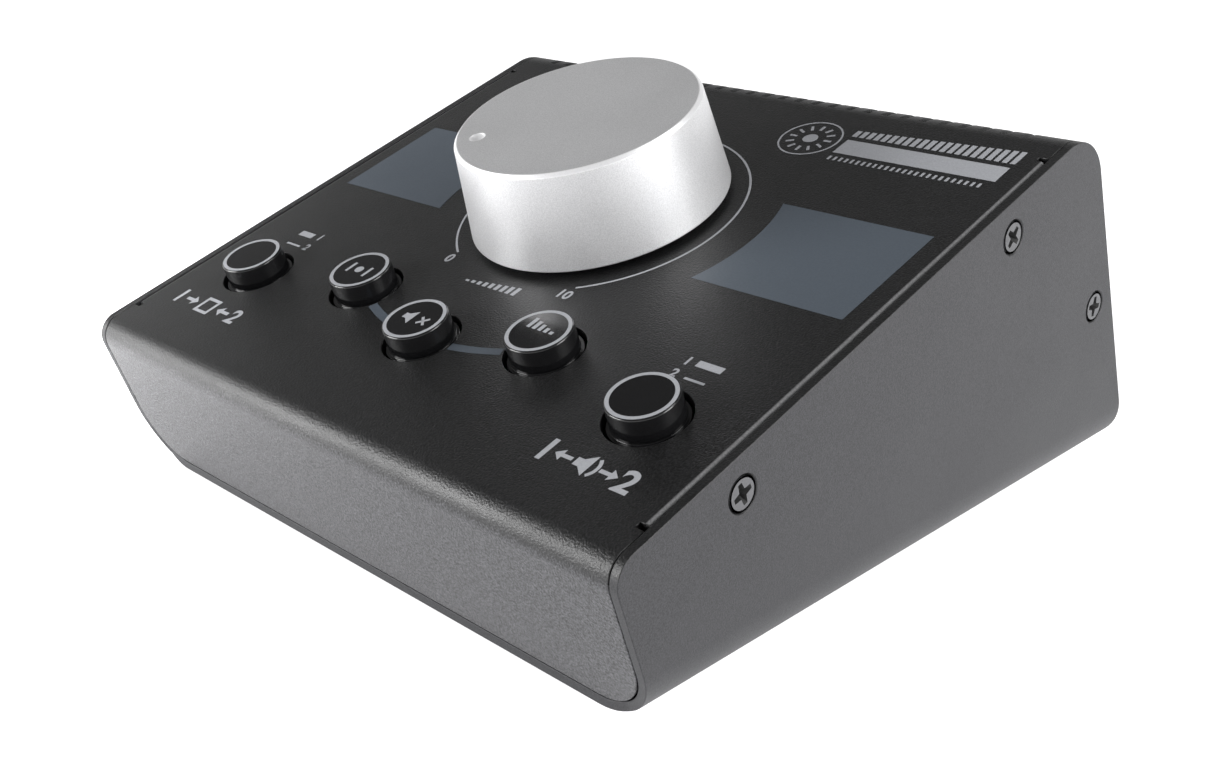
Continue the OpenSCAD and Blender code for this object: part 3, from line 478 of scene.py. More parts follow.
def add_sheet(shape, place, rims, lines=None, inner_paint=0, rim_paint=None):
    """Adds a sheet to the shape: both faces and the rims of its outline and holes.

    place(a, b, depth) gives a point and its outward normal. Each rim is a list of rings
    (loop, depth, tilt) from the outer face to the inner one. lines(loops) gives fold lines.
    """
    def corner(p, depth, tilt=0.0, away=None):
        point, normal = place(p.x, p.y, depth)
        if away is not None:
            beside = place(p.x + away.x * 1e-6, p.y + away.y * 1e-6, depth)[0] - point
            if beside.length > 1e-9:
                normal = normal * math.cos(tilt) + beside.normalized() * math.sin(tilt)
        return point, normal

    for ring_index, flip in ((0, False), (-1, True)):
        loops = [rim[ring_index][0] for rim in rims]
        points, faces = fill(loops, lines(loops) if lines else ())
        depth = rims[0][ring_index][1]
        for face in faces:
            corners = [corner(points[i], depth) for i in face]
            if flip:
                corners = [(p, -n) for p, n in reversed(corners)]
            shape.face(corners, inner_paint if flip else 0)
    for rim in rims:
        for (upper, d0, a0), (lower, d1, a1) in zip(rim, rim[1:]):
            away0 = [p - q for p, q in zip(upper, offset(upper, MM))]
            away1 = [p - q for p, q in zip(lower, offset(lower, MM))]
            ring0 = [corner(p, d0, a0, v.normalized()) for p, v in zip(upper, away0)]
            ring1 = [corner(p, d1, a1, v.normalized()) for p, v in zip(lower, away1)]
            for i in range(len(upper)):
                j = (i + 1) % len(upper)
                corners = [ring0[i], ring1[i], ring1[j], ring0[j]]
                shape.face(corners, rim_paint(corners) if rim_paint else 0)


def runs(points, radii):
    """Stretches (start, normal, end, normal) along (r, h) points; radii rounds some corners."""
    points = [Vector(p) for p in points]
    made, at, steps = [], points[0], 4
    for i, corner in enumerate(points[1:], 1):
        before = (corner - points[i - 1]).normalized()
        if i not in radii:
            made.append((at, left(before), corner, left(before)))
            at = corner
            continue
        turn = turn_between(before, (points[i + 1] - corner).normalized())
        start = corner - before * radii[i] * math.tan(abs(turn) / 2)
        made.append((at, left(before), start, left(before)))
        bulge = math.copysign(radii[i], turn)
        centre = start + left(before) * bulge
        spots = []
        for k in range(steps + 1):
            normal = turned(left(before), turn * k / steps)
            spots.append((centre - normal * bulge, normal))
        made += [(*a, *b) for a, b in zip(spots, spots[1:])]
        at = spots[-1][0]
    return made


def add_lathe(shape, stretches, where, segments=96, paint=0):
    """Turns the stretches about the Z axis of the frame where."""
    turn = where.to_3x3()

    def corner(p, n, a):
        c, s = math.cos(a), math.sin(a)
        return where @ Vector((p.x * c, p.x * s, p.y)), turn @ Vector((n.x * c, n.x * s, n.y))

    for k in range(segments):
        a, b = 2 * math.pi * k / segments, 2 * math.pi * (k + 1) / segments
        for p, n, q, m in stretches:
            shape.face([corner(p, n, a), corner(q, m, a), corner(q, m, b), corner(p, n, b)], paint)


def lathed(profile, radii):
    """A shape turned from (r, h) points, of which radii rounds some, about the Z axis."""
    shape = Shape()
    add_lathe(shape, runs(profile, radii), Matrix(), 48)
    return shape


def add_plane(shape, where, loops, h, paint=0):
    """Fills 2-D loops at height h of the frame where, facing its Z axis."""
    normal = where.to_3x3() @ Vector((0, 0, 1))
    points, faces = fill(loops)
    for face in faces:
        shape.face([(where @ Vector((*points[i], h)), normal) for i in face], paint)


def add_quad(shape, spots, paint=0):
    normal = (spots[1] - spots[0]).cross(spots[3] - spots[0]).normalized()
    shape.face([(p, normal) for p in spots], paint)


def add_walls(shape, where, upper, h0, lower, h1, paint=0):
    """Joins two loops at two heights; seen from their material's side, they run to the left."""
    for i in range(len(upper)):
        j = (i + 1) % len(upper)
        add_quad(shape, [
            where @ Vector((*upper[i], h0)), where @ Vector((*lower[i], h1)),
            where @ Vector((*lower[j], h1)), where @ Vector((*upper[j], h0)),
        ], paint)


def slab(loops, thick):
    """A thin flat piece that stands on z = 0 over 2-D loops."""
    shape = Shape()
    flat = lambda a, b, depth: (Vector((a, b, thick - depth)), Vector((0, 0, 1)))
    add_sheet(shape, flat, [straight_rim(loop, thick, 0) for loop in loops])
    return shape.mesh("slab")


def piece(name, mesh, materials, body="case", replaces=()):
    """Puts a finished mesh into the scene as a piece that rides on a body."""
    made = bpy.data.objects.new(name, mesh)
    bpy.context.scene.collection.objects.link(made)
    for i, material in enumerate(materials):
        if i < len(mesh.materials):
            mesh.materials[i] = material
        else:
            mesh.materials.append(material)
    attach(made, body)
    if replaces:
        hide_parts(*replaces)
    return made


def joined(name, parts):
    """One mesh of (mesh, frame) parts, which are removed."""
    bm = bmesh.new()
    for mesh, where in parts:
        first = len(bm.verts)
        bm.from_mesh(mesh)
        bm.verts.ensure_lookup_table()
        bmesh.ops.transform(bm, matrix=where, verts=bm.verts[first:])
        bpy.data.meshes.remove(mesh)
    made = bpy.data.meshes.new(name)
    bm.to_mesh(made)
    bm.free()
    made.shade_flat()
    return made


# ---- node trees ----------------------------------------------------------------------------

FLOAT, COUNT, GEOMETRY = "NodeSocketFloat", "NodeSocketInt", "NodeSocketGeometry"
MATERIAL, OBJECT = "NodeSocketMaterial", "NodeSocketObject"


class Nodes:
    """Adds nodes to a tree. Each value that goes in is plain or a socket to link."""

    def __init__(self, tree):
        self.tree = tree

    def __call__(self, kind, values=(), out=0, **settings):
        """Adds a node, sets its inputs by name or number, and gives one of its outputs."""
        node = self.tree.nodes.new(kind)
        for key, value in settings.items():
            setattr(node, key, value)
        for key, value in dict(values).items():
            self.put(value, node.inputs[key])
        return node.outputs[out]

    def put(self, value, socket):
        if isinstance(value, bpy.types.NodeSocket):
            self.tree.links.new(value, socket)
        else:
            socket.default_value = value

    def maths(self, operation, *values):
        return self("ShaderNodeMath", enumerate(values), operation=operation)

    def plus(self, a, b):
        return self.maths("ADD", a, b)

    def minus(self, a, b):
        return self.maths("SUBTRACT", a, b)

    def times(self, a, b):
        return self.maths("MULTIPLY", a, b)

    def xyz(self, x=0.0, y=0.0, z=0.0):
        return self("ShaderNodeCombineXYZ", enumerate((x, y, z)))

    def noise(self, spot, scale, detail, **more):
        values = {"Vector": spot, "Scale": scale, "Detail": detail, **more}
        return self("ShaderNodeTexNoise", values)

    def between(self, value, low, high, start=0.3, end=0.7, **settings):
        return self("ShaderNodeMapRange", {
            "Value": value, "From Min": start, "From Max": end, "To Min": low, "To Max": high,
        }, **settings)

    def set_on(self, points, instance, **more):
        values = {"Points": points, "Instance": instance, **more}
        return self("GeometryNodeInstanceOnPoints", values)


def node_group(name, kind, inputs, outputs):
    """Makes a function of (nodes, inputs) that gives the outputs build a group, once."""
    def decorate(build):
        def tree_of():
            if name in bpy.data.node_groups:
                return bpy.data.node_groups[name]
            tree = bpy.data.node_groups.new(name, kind)
            for direction, sockets in (("INPUT", inputs), ("OUTPUT", outputs)):
                for label, sort, *default in sockets:
                    socket = tree.interface.new_socket(label, in_out=direction, socket_type=sort)
                    if default:
                        socket.default_value = default[0]
            given, out = tree.nodes.new("NodeGroupInput"), tree.nodes.new("NodeGroupOutput")
            nodes = Nodes(tree)
            for value, socket in zip(build(nodes, given.outputs), out.inputs):
                nodes.put(value, socket)
            return tree

        return tree_of

    return decorate


def geometry_tree(name, *inputs):
    """The same for Geometry Nodes: they end in Realize Instances and Set Material."""
    def decorate(build):
        def ended(n, g):
            real = n("GeometryNodeRealizeInstances", {"Geometry": build(n, g)})
            values = {"Geometry": real, "Material": g["Material"]}
            return [n("GeometryNodeSetMaterial", values)]

        sockets = (*inputs, ("Material", MATERIAL))
        return node_group(name, "GeometryNodeTree", sockets, [("Geometry", GEOMETRY)])(ended)

    return decorate


def grow(tree_of, name, seed=None, **inputs):
    """The plain mesh that a Geometry Nodes tree makes from these inputs."""
    base = bpy.data.objects.new(name + "_seed", seed or bpy.data.meshes.new(name + "_seed"))
    bpy.context.scene.collection.objects.link(base)
    modifier = base.modifiers.new("Nodes", "NODES")
    modifier.node_group = tree_of()
    for item in modifier.node_group.interface.items_tree:
        key = item.name.replace(" ", "_")
        if item.item_type == "SOCKET" and item.in_out == "INPUT" and key in inputs:
            modifier[item.identifier] = inputs[key]
    bpy.context.view_layer.update()
    evaluated = base.evaluated_get(bpy.context.evaluated_depsgraph_get())
    made = bpy.data.meshes.new_from_object(evaluated)
    made.name = name
    base.modifiers.clear()
    bpy.data.objects.remove(base)
    if not made.vertices:
        raise RuntimeError(f"a tree made nothing for {name}")
    return made


def centred_row(n, g):
    """Points in a row along X around the middle, and how many gaps lie between them."""
    gaps = n.minus(g["Count"], 1.0)
    start = n.xyz(n.times(n.times(gaps, g["Pitch"]), -0.5))
    values = {"Count": g["Count"], "Start Location": start, "Offset": n.xyz(g["Pitch"])}
    return n("GeometryNodeMeshLine", values), gaps


@geometry_tree(
    "Slot row", ("Count", COUNT, 30), ("Pitch", FLOAT, 4 * MM), ("Width", FLOAT, 1.5 * MM),
    ("Height", FLOAT, 14 * MM), ("Corner", FLOAT, 0.3 * MM),
)
def slot_row(n, g):
    """Outlines of a row of slots with round corners, side by side along X."""
    values = {"Width": g["Width"], "Height": g["Height"]}
    outline = n("GeometryNodeCurvePrimitiveQuadrilateral", values)
    values = {"Curve": outline, "Count": 3, "Radius": g["Corner"]}
    rounded = n("GeometryNodeFilletCurve", values, mode="POLY")
    return n.set_on(centred_row(n, g)[0], n("GeometryNodeCurveToMesh", {"Curve": rounded}))


@geometry_tree(
    "Ring", ("Radius", FLOAT, 5 * MM), ("Width", FLOAT, 1 * MM), ("Thickness", FLOAT, 0.03 * MM),
    ("Start", FLOAT, 0.0), ("Sweep", FLOAT, 2 * math.pi), ("Points", COUNT, 96),
)
def flat_ring(n, g):
    """A flat ring or a stretch of one, lying on z = 0."""
    strip = n("GeometryNodeMeshGrid", {
        "Size X": 1.0, "Size Y": 1.0, "Vertices X": g["Points"], "Vertices Y": 2,
    })
    spot = n("ShaderNodeSeparateXYZ", {0: n("GeometryNodeInputPosition")}).node.outputs
    where = n.plus(g["Start"], n.times(n.plus(spot["X"], 0.5), g["Sweep"]))
    radius = n.minus(g["Radius"], n.times(spot["Y"], g["Width"]))
    polar = n.xyz(*(n.times(radius, n.maths(wave, where)) for wave in ("COSINE", "SINE")))
    bent = n("GeometryNodeSetPosition", {"Geometry": strip, "Position": polar})
    closed = n("GeometryNodeMergeByDistance", {"Geometry": bent, "Distance": 1e-6})
    upper = n("GeometryNodeExtrudeMesh", {
        "Mesh": closed, "Offset Scale": g["Thickness"], "Individual": False,
    })
    both = n("GeometryNodeJoinGeometry", {"Geometry": upper})
    n.put(n("GeometryNodeFlipFaces", {"Mesh": closed}), both.node.inputs[0])
    return n("GeometryNodeMergeByDistance", {"Geometry": both, "Distance": 1e-6})


@geometry_tree(
    "Dash ring", ("Count", COUNT, 12), ("Radius", FLOAT, 4 * MM), ("Length", FLOAT, 1.3 * MM),
    ("Width", FLOAT, 0.4 * MM), ("Thickness", FLOAT, 0.03 * MM),
)
def dash_ring(n, g):
    """Short radial dashes around a point."""
    around = n("GeometryNodeMeshCircle", {"Vertices": g["Count"], "Radius": g["Radius"]})
    size_of = n.xyz(g["Length"], g["Width"], g["Thickness"])
    share = n.maths("DIVIDE", n("GeometryNodeInputIndex"), g["Count"])
    turn = n.xyz(z=n.times(share, 2 * math.pi))
    return n.set_on(around, n("GeometryNodeMeshCube", {"Size": size_of}), Rotation=turn)


@geometry_tree(
    "Bar row", ("Count", COUNT, 9), ("Pitch", FLOAT, 1.5 * MM), ("Width", FLOAT, 0.8 * MM),
    ("First height", FLOAT, 0.5 * MM), ("Last height", FLOAT, 2 * MM),
    ("Thickness", FLOAT, 0.03 * MM),
)
def bar_row(n, g):
    """A row of bars on one base line whose heights rise from the first to the last."""
    row, gaps = centred_row(n, g)
    share = n.maths("DIVIDE", n("GeometryNodeInputIndex"), gaps)
    rise = n.minus(g["Last height"], g["First height"])
    height = n.plus(g["First height"], n.times(share, rise))
    up = n.xyz(y=n.times(height, 0.5))
    lifted = n("GeometryNodeSetPosition", {"Geometry": row, "Offset": up})
    bar = n("GeometryNodeMeshCube", {"Size": n.xyz(g["Width"], 1.0, g["Thickness"])})
    return n.set_on(lifted, bar, Scale=n.xyz(1.0, height, 1.0))


@geometry_tree("Hardware", ("Geometry", GEOMETRY), ("Piece", OBJECT))
def hardware(n, g):
    """Sets a piece on each point, its Z axis along the point's "out" and turned by its "turn"."""
    def stored(name, kind):
        kept = "GeometryNodeInputNamedAttribute"
        return n(kept, {"Name": name}, "Attribute", data_type=kind)

    values = {"Vector": stored("out", "FLOAT_VECTOR")}
    upright = n("FunctionNodeAlignRotationToVector", values, axis="Z")
    values = {"Axis": (0, 0, 1), "Angle": stored("turn", "FLOAT")}
    spin = n("FunctionNodeAxisAngleToRotation", values)
    values = {"Rotation": upright, "Rotate By": spin}
    rotation = n("FunctionNodeRotateRotation", values, rotation_space="LOCAL")
    pattern = n("GeometryNodeObjectInfo", {"Object": g["Piece"]}, "Geometry")
    return n.set_on(g["Geometry"], pattern, Rotation=rotation)


@geometry_tree(
    "Coil", ("Radius", FLOAT, 1.9 * MM), ("Wire", FLOAT, 0.2 * MM), ("Turns", FLOAT, 5.0),
    ("Length", FLOAT, 5 * MM),
)
def coil_spring(n, g):
    """A coil spring of round wire that stands on z = 0."""
    path = n("GeometryNodeCurveSpiral", {
        "Resolution": 28, "Rotations": g["Turns"], "Start Radius": g["Radius"],
        "End Radius": g["Radius"], "Height": n.minus(g["Length"], n.times(g["Wire"], 2.0)),
    })
    values = {"Resolution": 10, "Radius": g["Wire"]}
    section = n("GeometryNodeCurvePrimitiveCircle", values)
    values = {"Curve": path, "Profile Curve": section, "Fill Caps": True}
    wire = n("GeometryNodeCurveToMesh", values)
    return n("GeometryNodeSetPosition", {"Geometry": wire, "Offset": n.xyz(z=g["Wire"])})


def add_set(name, shape, spots, materials, node):
    """Sets the shape on spots, which are (point, out, turn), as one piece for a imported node."""
    pattern = shape.mesh(name + "_pattern")
    for material in materials:
        pattern.materials.append(material)
    seed = bpy.data.meshes.new(name + "_points")
    seed.from_pydata([spot[0] for spot in spots], [], [])
    seed.attributes.new("out", "FLOAT_VECTOR", "POINT")
    seed.attributes.new("turn", "FLOAT", "POINT")
    for i, (_, direction, turn) in enumerate(spots):
        seed.attributes["out"].data[i].vector = direction
        seed.attributes["turn"].data[i].value = turn
    holder = bpy.data.objects.new(name + "_pattern", pattern)
    bpy.context.scene.collection.objects.link(holder)
    made = grow(hardware, name, seed, Piece=holder, Material=materials[0])
    bpy.data.objects.remove(holder)
    paints = [face.material_index for face in pattern.polygons]
    for i, face in enumerate(made.polygons):
        face.material_index = paints[i % len(paints)]
    bpy.data.meshes.remove(pattern)
    piece(name, made, materials[:1], replaces=[node])


def loops_of(mesh):
    """The closed loops of a mesh of edges, as 2-D points."""
    beside = {}
    for edge in mesh.edges:
        a, b = edge.vertices
        beside.setdefault(a, []).append(b)
        beside.setdefault(b, []).append(a)
    loops, used = [], set()
    for start in range(len(mesh.vertices)):
        if start in used or start not in beside:
            continue
        loop, at = [], start
        while at is not None:
            used.add(at)
            loop.append(mesh.vertices[at].co.xy.copy())
            at = next((n for n in beside[at] if n not in used), None)
        loops.append(loop)
    return loops


# ---- materials -----------------------------------------------------------------------------

@node_group(
    "Pebbled coat", "ShaderNodeTree", [("Size", FLOAT, 0.5 * MM), ("Fineness", FLOAT, 0.5)],
    [("Height", FLOAT), ("Fleck", FLOAT), ("Cloud", FLOAT)],
)
def pebbles(n, g):
    """The pebbled skin of a powder coat: its height, and flecks where a pebble catches light."""
    spot = n("ShaderNodeTexCoord", out="Object")
    density = n.maths("DIVIDE", 1.0, g["Size"])
    wander, fine = n.noise(spot, density, 2.0), n.noise(spot, n.times(density, 1.1), 3.0)
    cells = n("ShaderNodeTexVoronoi", {
        "Vector": spot, "Scale": density, "Smoothness": 0.6,
    }, "Distance", feature="SMOOTH_F1")
    values = {0: g["Fineness"], 2: n.minus(1.0, cells), 3: fine}
    mixed = n("ShaderNodeMix", values, data_type="FLOAT")
    height = n.plus(mixed, n.times(wander, 0.5))
    return height, n.between(fine, 0.0, 1.0, 0.36, 0.66), n.noise(spot, 38.0, 3.0)


@node_group(
    "Fine grain", "ShaderNodeTree", [("Size", FLOAT, 0.15 * MM), ("Stretch", FLOAT, 1.0)],
    [("Tone", FLOAT), ("Height", FLOAT), ("Cloud", FLOAT)],
)
def grain(n, g):
    """Fine even grain, as on blasted metal or moulded plastic: a tone and a height."""
    spot = n("ShaderNodeTexCoord", out="Object")
    values = {0: spot, 1: n.xyz(g["Stretch"], 1.0, 1.0)}
    pulled = n("ShaderNodeVectorMath", values, operation="MULTIPLY")
    density = n.maths("DIVIDE", 1.0, g["Size"])
    tone = n.noise(pulled, density, 2.0, Roughness=0.6)
    values = {"Vector": pulled, "Scale": n.times(density, 0.7)}
    pits = n("ShaderNodeTexVoronoi", values, "Distance")
    return tone, n.plus(tone, n.times(pits, 0.4)), n.noise(spot, 60.0, 4.0)


class Surface(Nodes):
    """The nodes of a new material, whose shader starts with these plain values."""

    def __init__(self, name, **sockets):
        self.material = bpy.data.materials.new(name)
        self.material.use_nodes = True
        super().__init__(self.material.node_tree)
        self.shader = self.tree.nodes["Principled BSDF"].inputs
        for key, value in sockets.items():
            self.shader[key.replace("_", " ")].default_value = value

    def group(self, tree_of, **values):
        """The outputs of a shader group with these values."""
        node = self.tree.nodes.new("ShaderNodeGroup")
        node.node_tree = tree_of()
        for key, value in values.items():
            node.inputs[key].default_value = value
        return node.outputs

    def mix(self, share, a, b):
        return self("ShaderNodeMix", {0: share, 6: a, 7: b}, 2, data_type="RGBA")

    def finish(self, base, rough, height, rise, strength=1.0):
        """Links the colour, the roughness and the bump, and gives the material."""
        values = {"Height": height, "Distance": rise, "Strength": strength}
        normal = self("ShaderNodeBump", values)
        for key, value in (("Base Color", base), ("Roughness", rough), ("Normal", normal)):
            self.put(value, self.shader[key])
        return self.material


def skin(name, group, sizes, tint, rough, bump, **sockets):
    """A material with the skin of one group.

    tint is (output, darkest, lightest), rough is (output, low, high) and bump is
    (rise, strength).
    """
    m = Surface(name, **sockets)
    g = m.group(group, **sizes)
    by, *colours = tint
    share = g[by] if by == "Fleck" else m.between(g[by], 0.0, 1.0)
    by, *limits = rough
    return m.finish(m.mix(share, *colours), m.between(g[by], *limits), g["Height"], *bump)


def coat_grain():
    """The sizes of the pebbles in the black coat and in what is printed on it."""
    return {"Size": bpy.context.scene.controller_case.pebble, "Fineness": 0.8}


def tones(c, *factors):
    """The colour made darker or lighter by each factor."""
    return [(*(min(1.0, c[i] * k) for i in range(3)), 1.0) for k in factors]


def once(build):
    """Builds a material the first time that it is asked for."""
    made = {}

    def get(*args):
        if args not in made:
            made[args] = build(*args)
        return made[args]

    return get


@once
def two_tone_coat():
    """Grey powder coat with a black top coat that starts, speckled, behind the front bend."""
    case = bpy.context.scene.controller_case
    m = Surface("two_tone_coat")
    g = m.group(pebbles, **coat_grain())
    spot = m("ShaderNodeTexCoord", out="Object")
    values = {0: spot, 1: panel_corner()}
    from_corner = m("ShaderNodeVectorMath", values, operation="SUBTRACT")
    # this grows evenly from the lip around the bend to the top
    values = {0: from_corner, 1: UP_SLOPE + OFF_PANEL}
    along = m("ShaderNodeVectorMath", values, "Value", operation="DOT_PRODUCT")
    specks, drift = m.noise(spot, 3600.0, 2.0), m.noise(spot, 160.0, 2.0)
    jitter = m.maths("MULTIPLY_ADD", specks, 3.0 * case.overspray, -1.5 * case.overspray)
    drifted = m.maths("MULTIPLY_ADD", drift, 0.5 * MM, -0.25 * MM)
    place = m.plus(along, m.plus(jitter, drifted))
    limits = [-case.paint_end + way * 0.6 * case.overspray for way in (-1, 1)]
    black = m.between(place, 0.0, 1.0, *limits, interpolation_type="SMOOTHSTEP")
    grey = m.mix(g["Fleck"], *tones(case.grey, 0.1, 2.6))
    dark = m.mix(g["Fleck"], *tones(case.black, 0.1, 4.0))

    # a light line is painted along the crease of each side flange, a painted highlight where the bend catches the
    # light
    x = m("ShaderNodeSeparateXYZ", {0: spot}, "X")
    crease = case.half_width - case.sheet - case.seam - 0.55 * case.flange_bend
    aside = m.maths("ABSOLUTE", m.minus(m.maths("ABSOLUTE", x), crease))
    crease_glint = m.between(aside, 1.0, 0.0, 0.08 * MM, 0.36 * MM)
    middle = (case.flange_front + case.top_length - case.flange_rear) / 2
    half_run = middle - case.flange_front
    from_middle = m.maths("ABSOLUTE", m.minus(along, middle))
    on_flange = m.between(from_middle, 1.0, 0.0, half_run - 0.2 * MM, half_run)
    # the painted crease highlight, kept to the flanges and broken up by specks
    thin = m.times(m.times(crease_glint, on_flange), m.between(specks, 0.55, 1.0))
    # the black coat with the painted crease highlight mixed in
    dark_with_crease_highlight = m.mix(thin, dark, (0.2, 0.2, 0.205, 1.0))
    values = {0: black, 2: 0.38, 3: m.between(g["Cloud"], 0.38, 0.47)}
    rough = m("ShaderNodeMix", values, data_type="FLOAT")
    return m.finish(m.mix(black, grey, dark_with_crease_highlight), rough, g["Height"], 0.1 * MM)


@once
def black_coat():
    """The black top coat where it covers everything."""
    tint = ("Fleck", *tones(bpy.context.scene.controller_case.black, 0.6, 3.4))
    return skin("case_black", pebbles, coat_grain(), tint, ("Cloud", 0.38, 0.47), (0.1 * MM, 1.0))


@once
def grey_coat():
    """Satin grey powder coat with a fine metallic fleck."""
    case = bpy.context.scene.controller_case
    sizes = {"Size": 0.6 * case.pebble, "Fineness": 0.6}
    tint, rough = ("Fleck", *tones(case.grey, 0.6, 1.33)), ("Cloud", 0.46, 0.52)
    bump = (0.05 * MM, 0.7)
    return skin("case_grey", pebbles, sizes, tint, rough, bump, Specular_IOR_Level=0.35)


@once
def blasted_aluminium():
    metal = bpy.context.scene.controller_knob.metal
    m = Surface("blasted_aluminium", Metallic=0.62)
    g = m.group(grain, Size=0.2 * MM)
    base = m.mix(m.between(g["Tone"], 0.0, 1.0), *tones(metal, 0.84, 1.1))
    dull = m.mix(m.between(g["Cloud"], 0.12, 0.0), base, *tones(metal, 0.6))
    return m.finish(dull, m.between(g["Cloud"], 0.36, 0.44), g["Height"], 0.02 * MM, 0.5)


@once
def bright_aluminium():
    """The cut bevel and dimple of the knob: a lighter, smoother copy of the aluminium, partly the cut metal's own
    shine and partly a painted highlight on the bevel and a painted glint in the dimple.
    """
    tint = ("Tone", (0.88, 0.88, 0.89, 1), (0.95, 0.95, 0.96, 1))
    rough, bump = ("Cloud", 0.32, 0.38), (0.003 * MM, 0.4)
    return skin("bright_aluminium", grain, {"Size": 0.2 * MM}, tint, rough, bump, Metallic=0.5)


@once
def moulded(name, base, rough, size_of_grain=0.2 * MM, rise=0.006 * MM):
    """Moulded plastic or rubber with a fine skin."""
    tint, limits = ("Cloud", *tones(base, 0.88, 1.14)), ("Tone", rough - 0.05, rough + 0.05)
    return skin(name, grain, {"Size": size_of_grain}, tint, limits, (rise, 0.5))


@once
def plated(name, base, rough, stretch=1.0):
    """Plated or drawn metal; a stretch below one pulls the grain out along X."""
    sizes = {"Size": 0.12 * MM, "Stretch": stretch}
    tint, limits = ("Cloud", *tones(base, 0.86, 1.1)), ("Tone", rough - 0.07, rough + 0.07)
    return skin(name, grain, sizes, tint, limits, (0.004 * MM, 0.4), Metallic=1.0)


@once
def printed(name, base, rough):
    """Screen-printed ink, slightly uneven where it lies over the pebbles of the coat."""
    tint, limits = ("Fleck", *tones(base, 0.95, 1.08)), ("Cloud", rough - 0.05, rough + 0.05)
    return skin(name, pebbles, coat_grain(), tint, limits, (0.02 * MM, 0.45))


@once
def circuit_board():
    """Green solder mask over copper tracks."""
    m = Surface("circuit_board")
    spot = m("ShaderNodeTexCoord", out="Object")
    tracks = m("ShaderNodeTexBrick", {
        "Vector": spot, "Scale": 260.0, "Mortar Size": 0.05, "Color1": (1, 1, 1, 1),
        "Color2": (0.9, 0.9, 0.9, 1), "Mortar": (0, 0, 0, 1),
    }, offset=0.37, squash=1.4)
    cloud = m.noise(spot, 300.0, 3.0)
    mask = m.mix(tracks, (0.05, 0.22, 0.09, 1), (0.015, 0.11, 0.045, 1))
    tint = m.mix(m.between(cloud, 0.0, 0.35), mask, (0.02, 0.08, 0.04, 1))
    return m.finish(tint, m.between(cloud, 0.24, 0.34), tracks, -0.02 * MM, 0.6)


@once
def ribbon_vinyl():
    """Grey flat cable with a ridge for each wire."""
    m = Surface("ribbon_vinyl")
    x = m("ShaderNodeSeparateXYZ", {0: m("ShaderNodeTexCoord", out="Object")}, "X")
    wave = m.maths("SINE", m.times(x, 2 * math.pi / WIRE_PITCH))
    share = m.maths("MULTIPLY_ADD", wave, 0.5, 0.5)
    # the colour follows the ridges, lighter on each ridge and darker in the grooves between them, painted shade
    tint = m.mix(share, (0.30, 0.31, 0.33, 1), (0.48, 0.49, 0.51, 1))
    return m.finish(tint, m.between(share, 0.42, 0.5, 0.0, 1.0), share, 0.25 * MM)


def black_plastic():
    return moulded("matt_black", (0.02, 0.02, 0.021), 0.48)


def steel():
    return plated("bright_steel", (0.56, 0.56, 0.57), 0.32)


def nickel():
    return plated("bright_nickel", (0.66, 0.64, 0.6), 0.22)


def light_ink():
    return printed("light_ink", tuple(bpy.context.scene.controller_print.light), 0.55)


def slate_ink():
    return printed("slate_ink", tuple(bpy.context.scene.controller_print.slate), 0.5)


# ---- the case ------------------------------------------------------------------------------

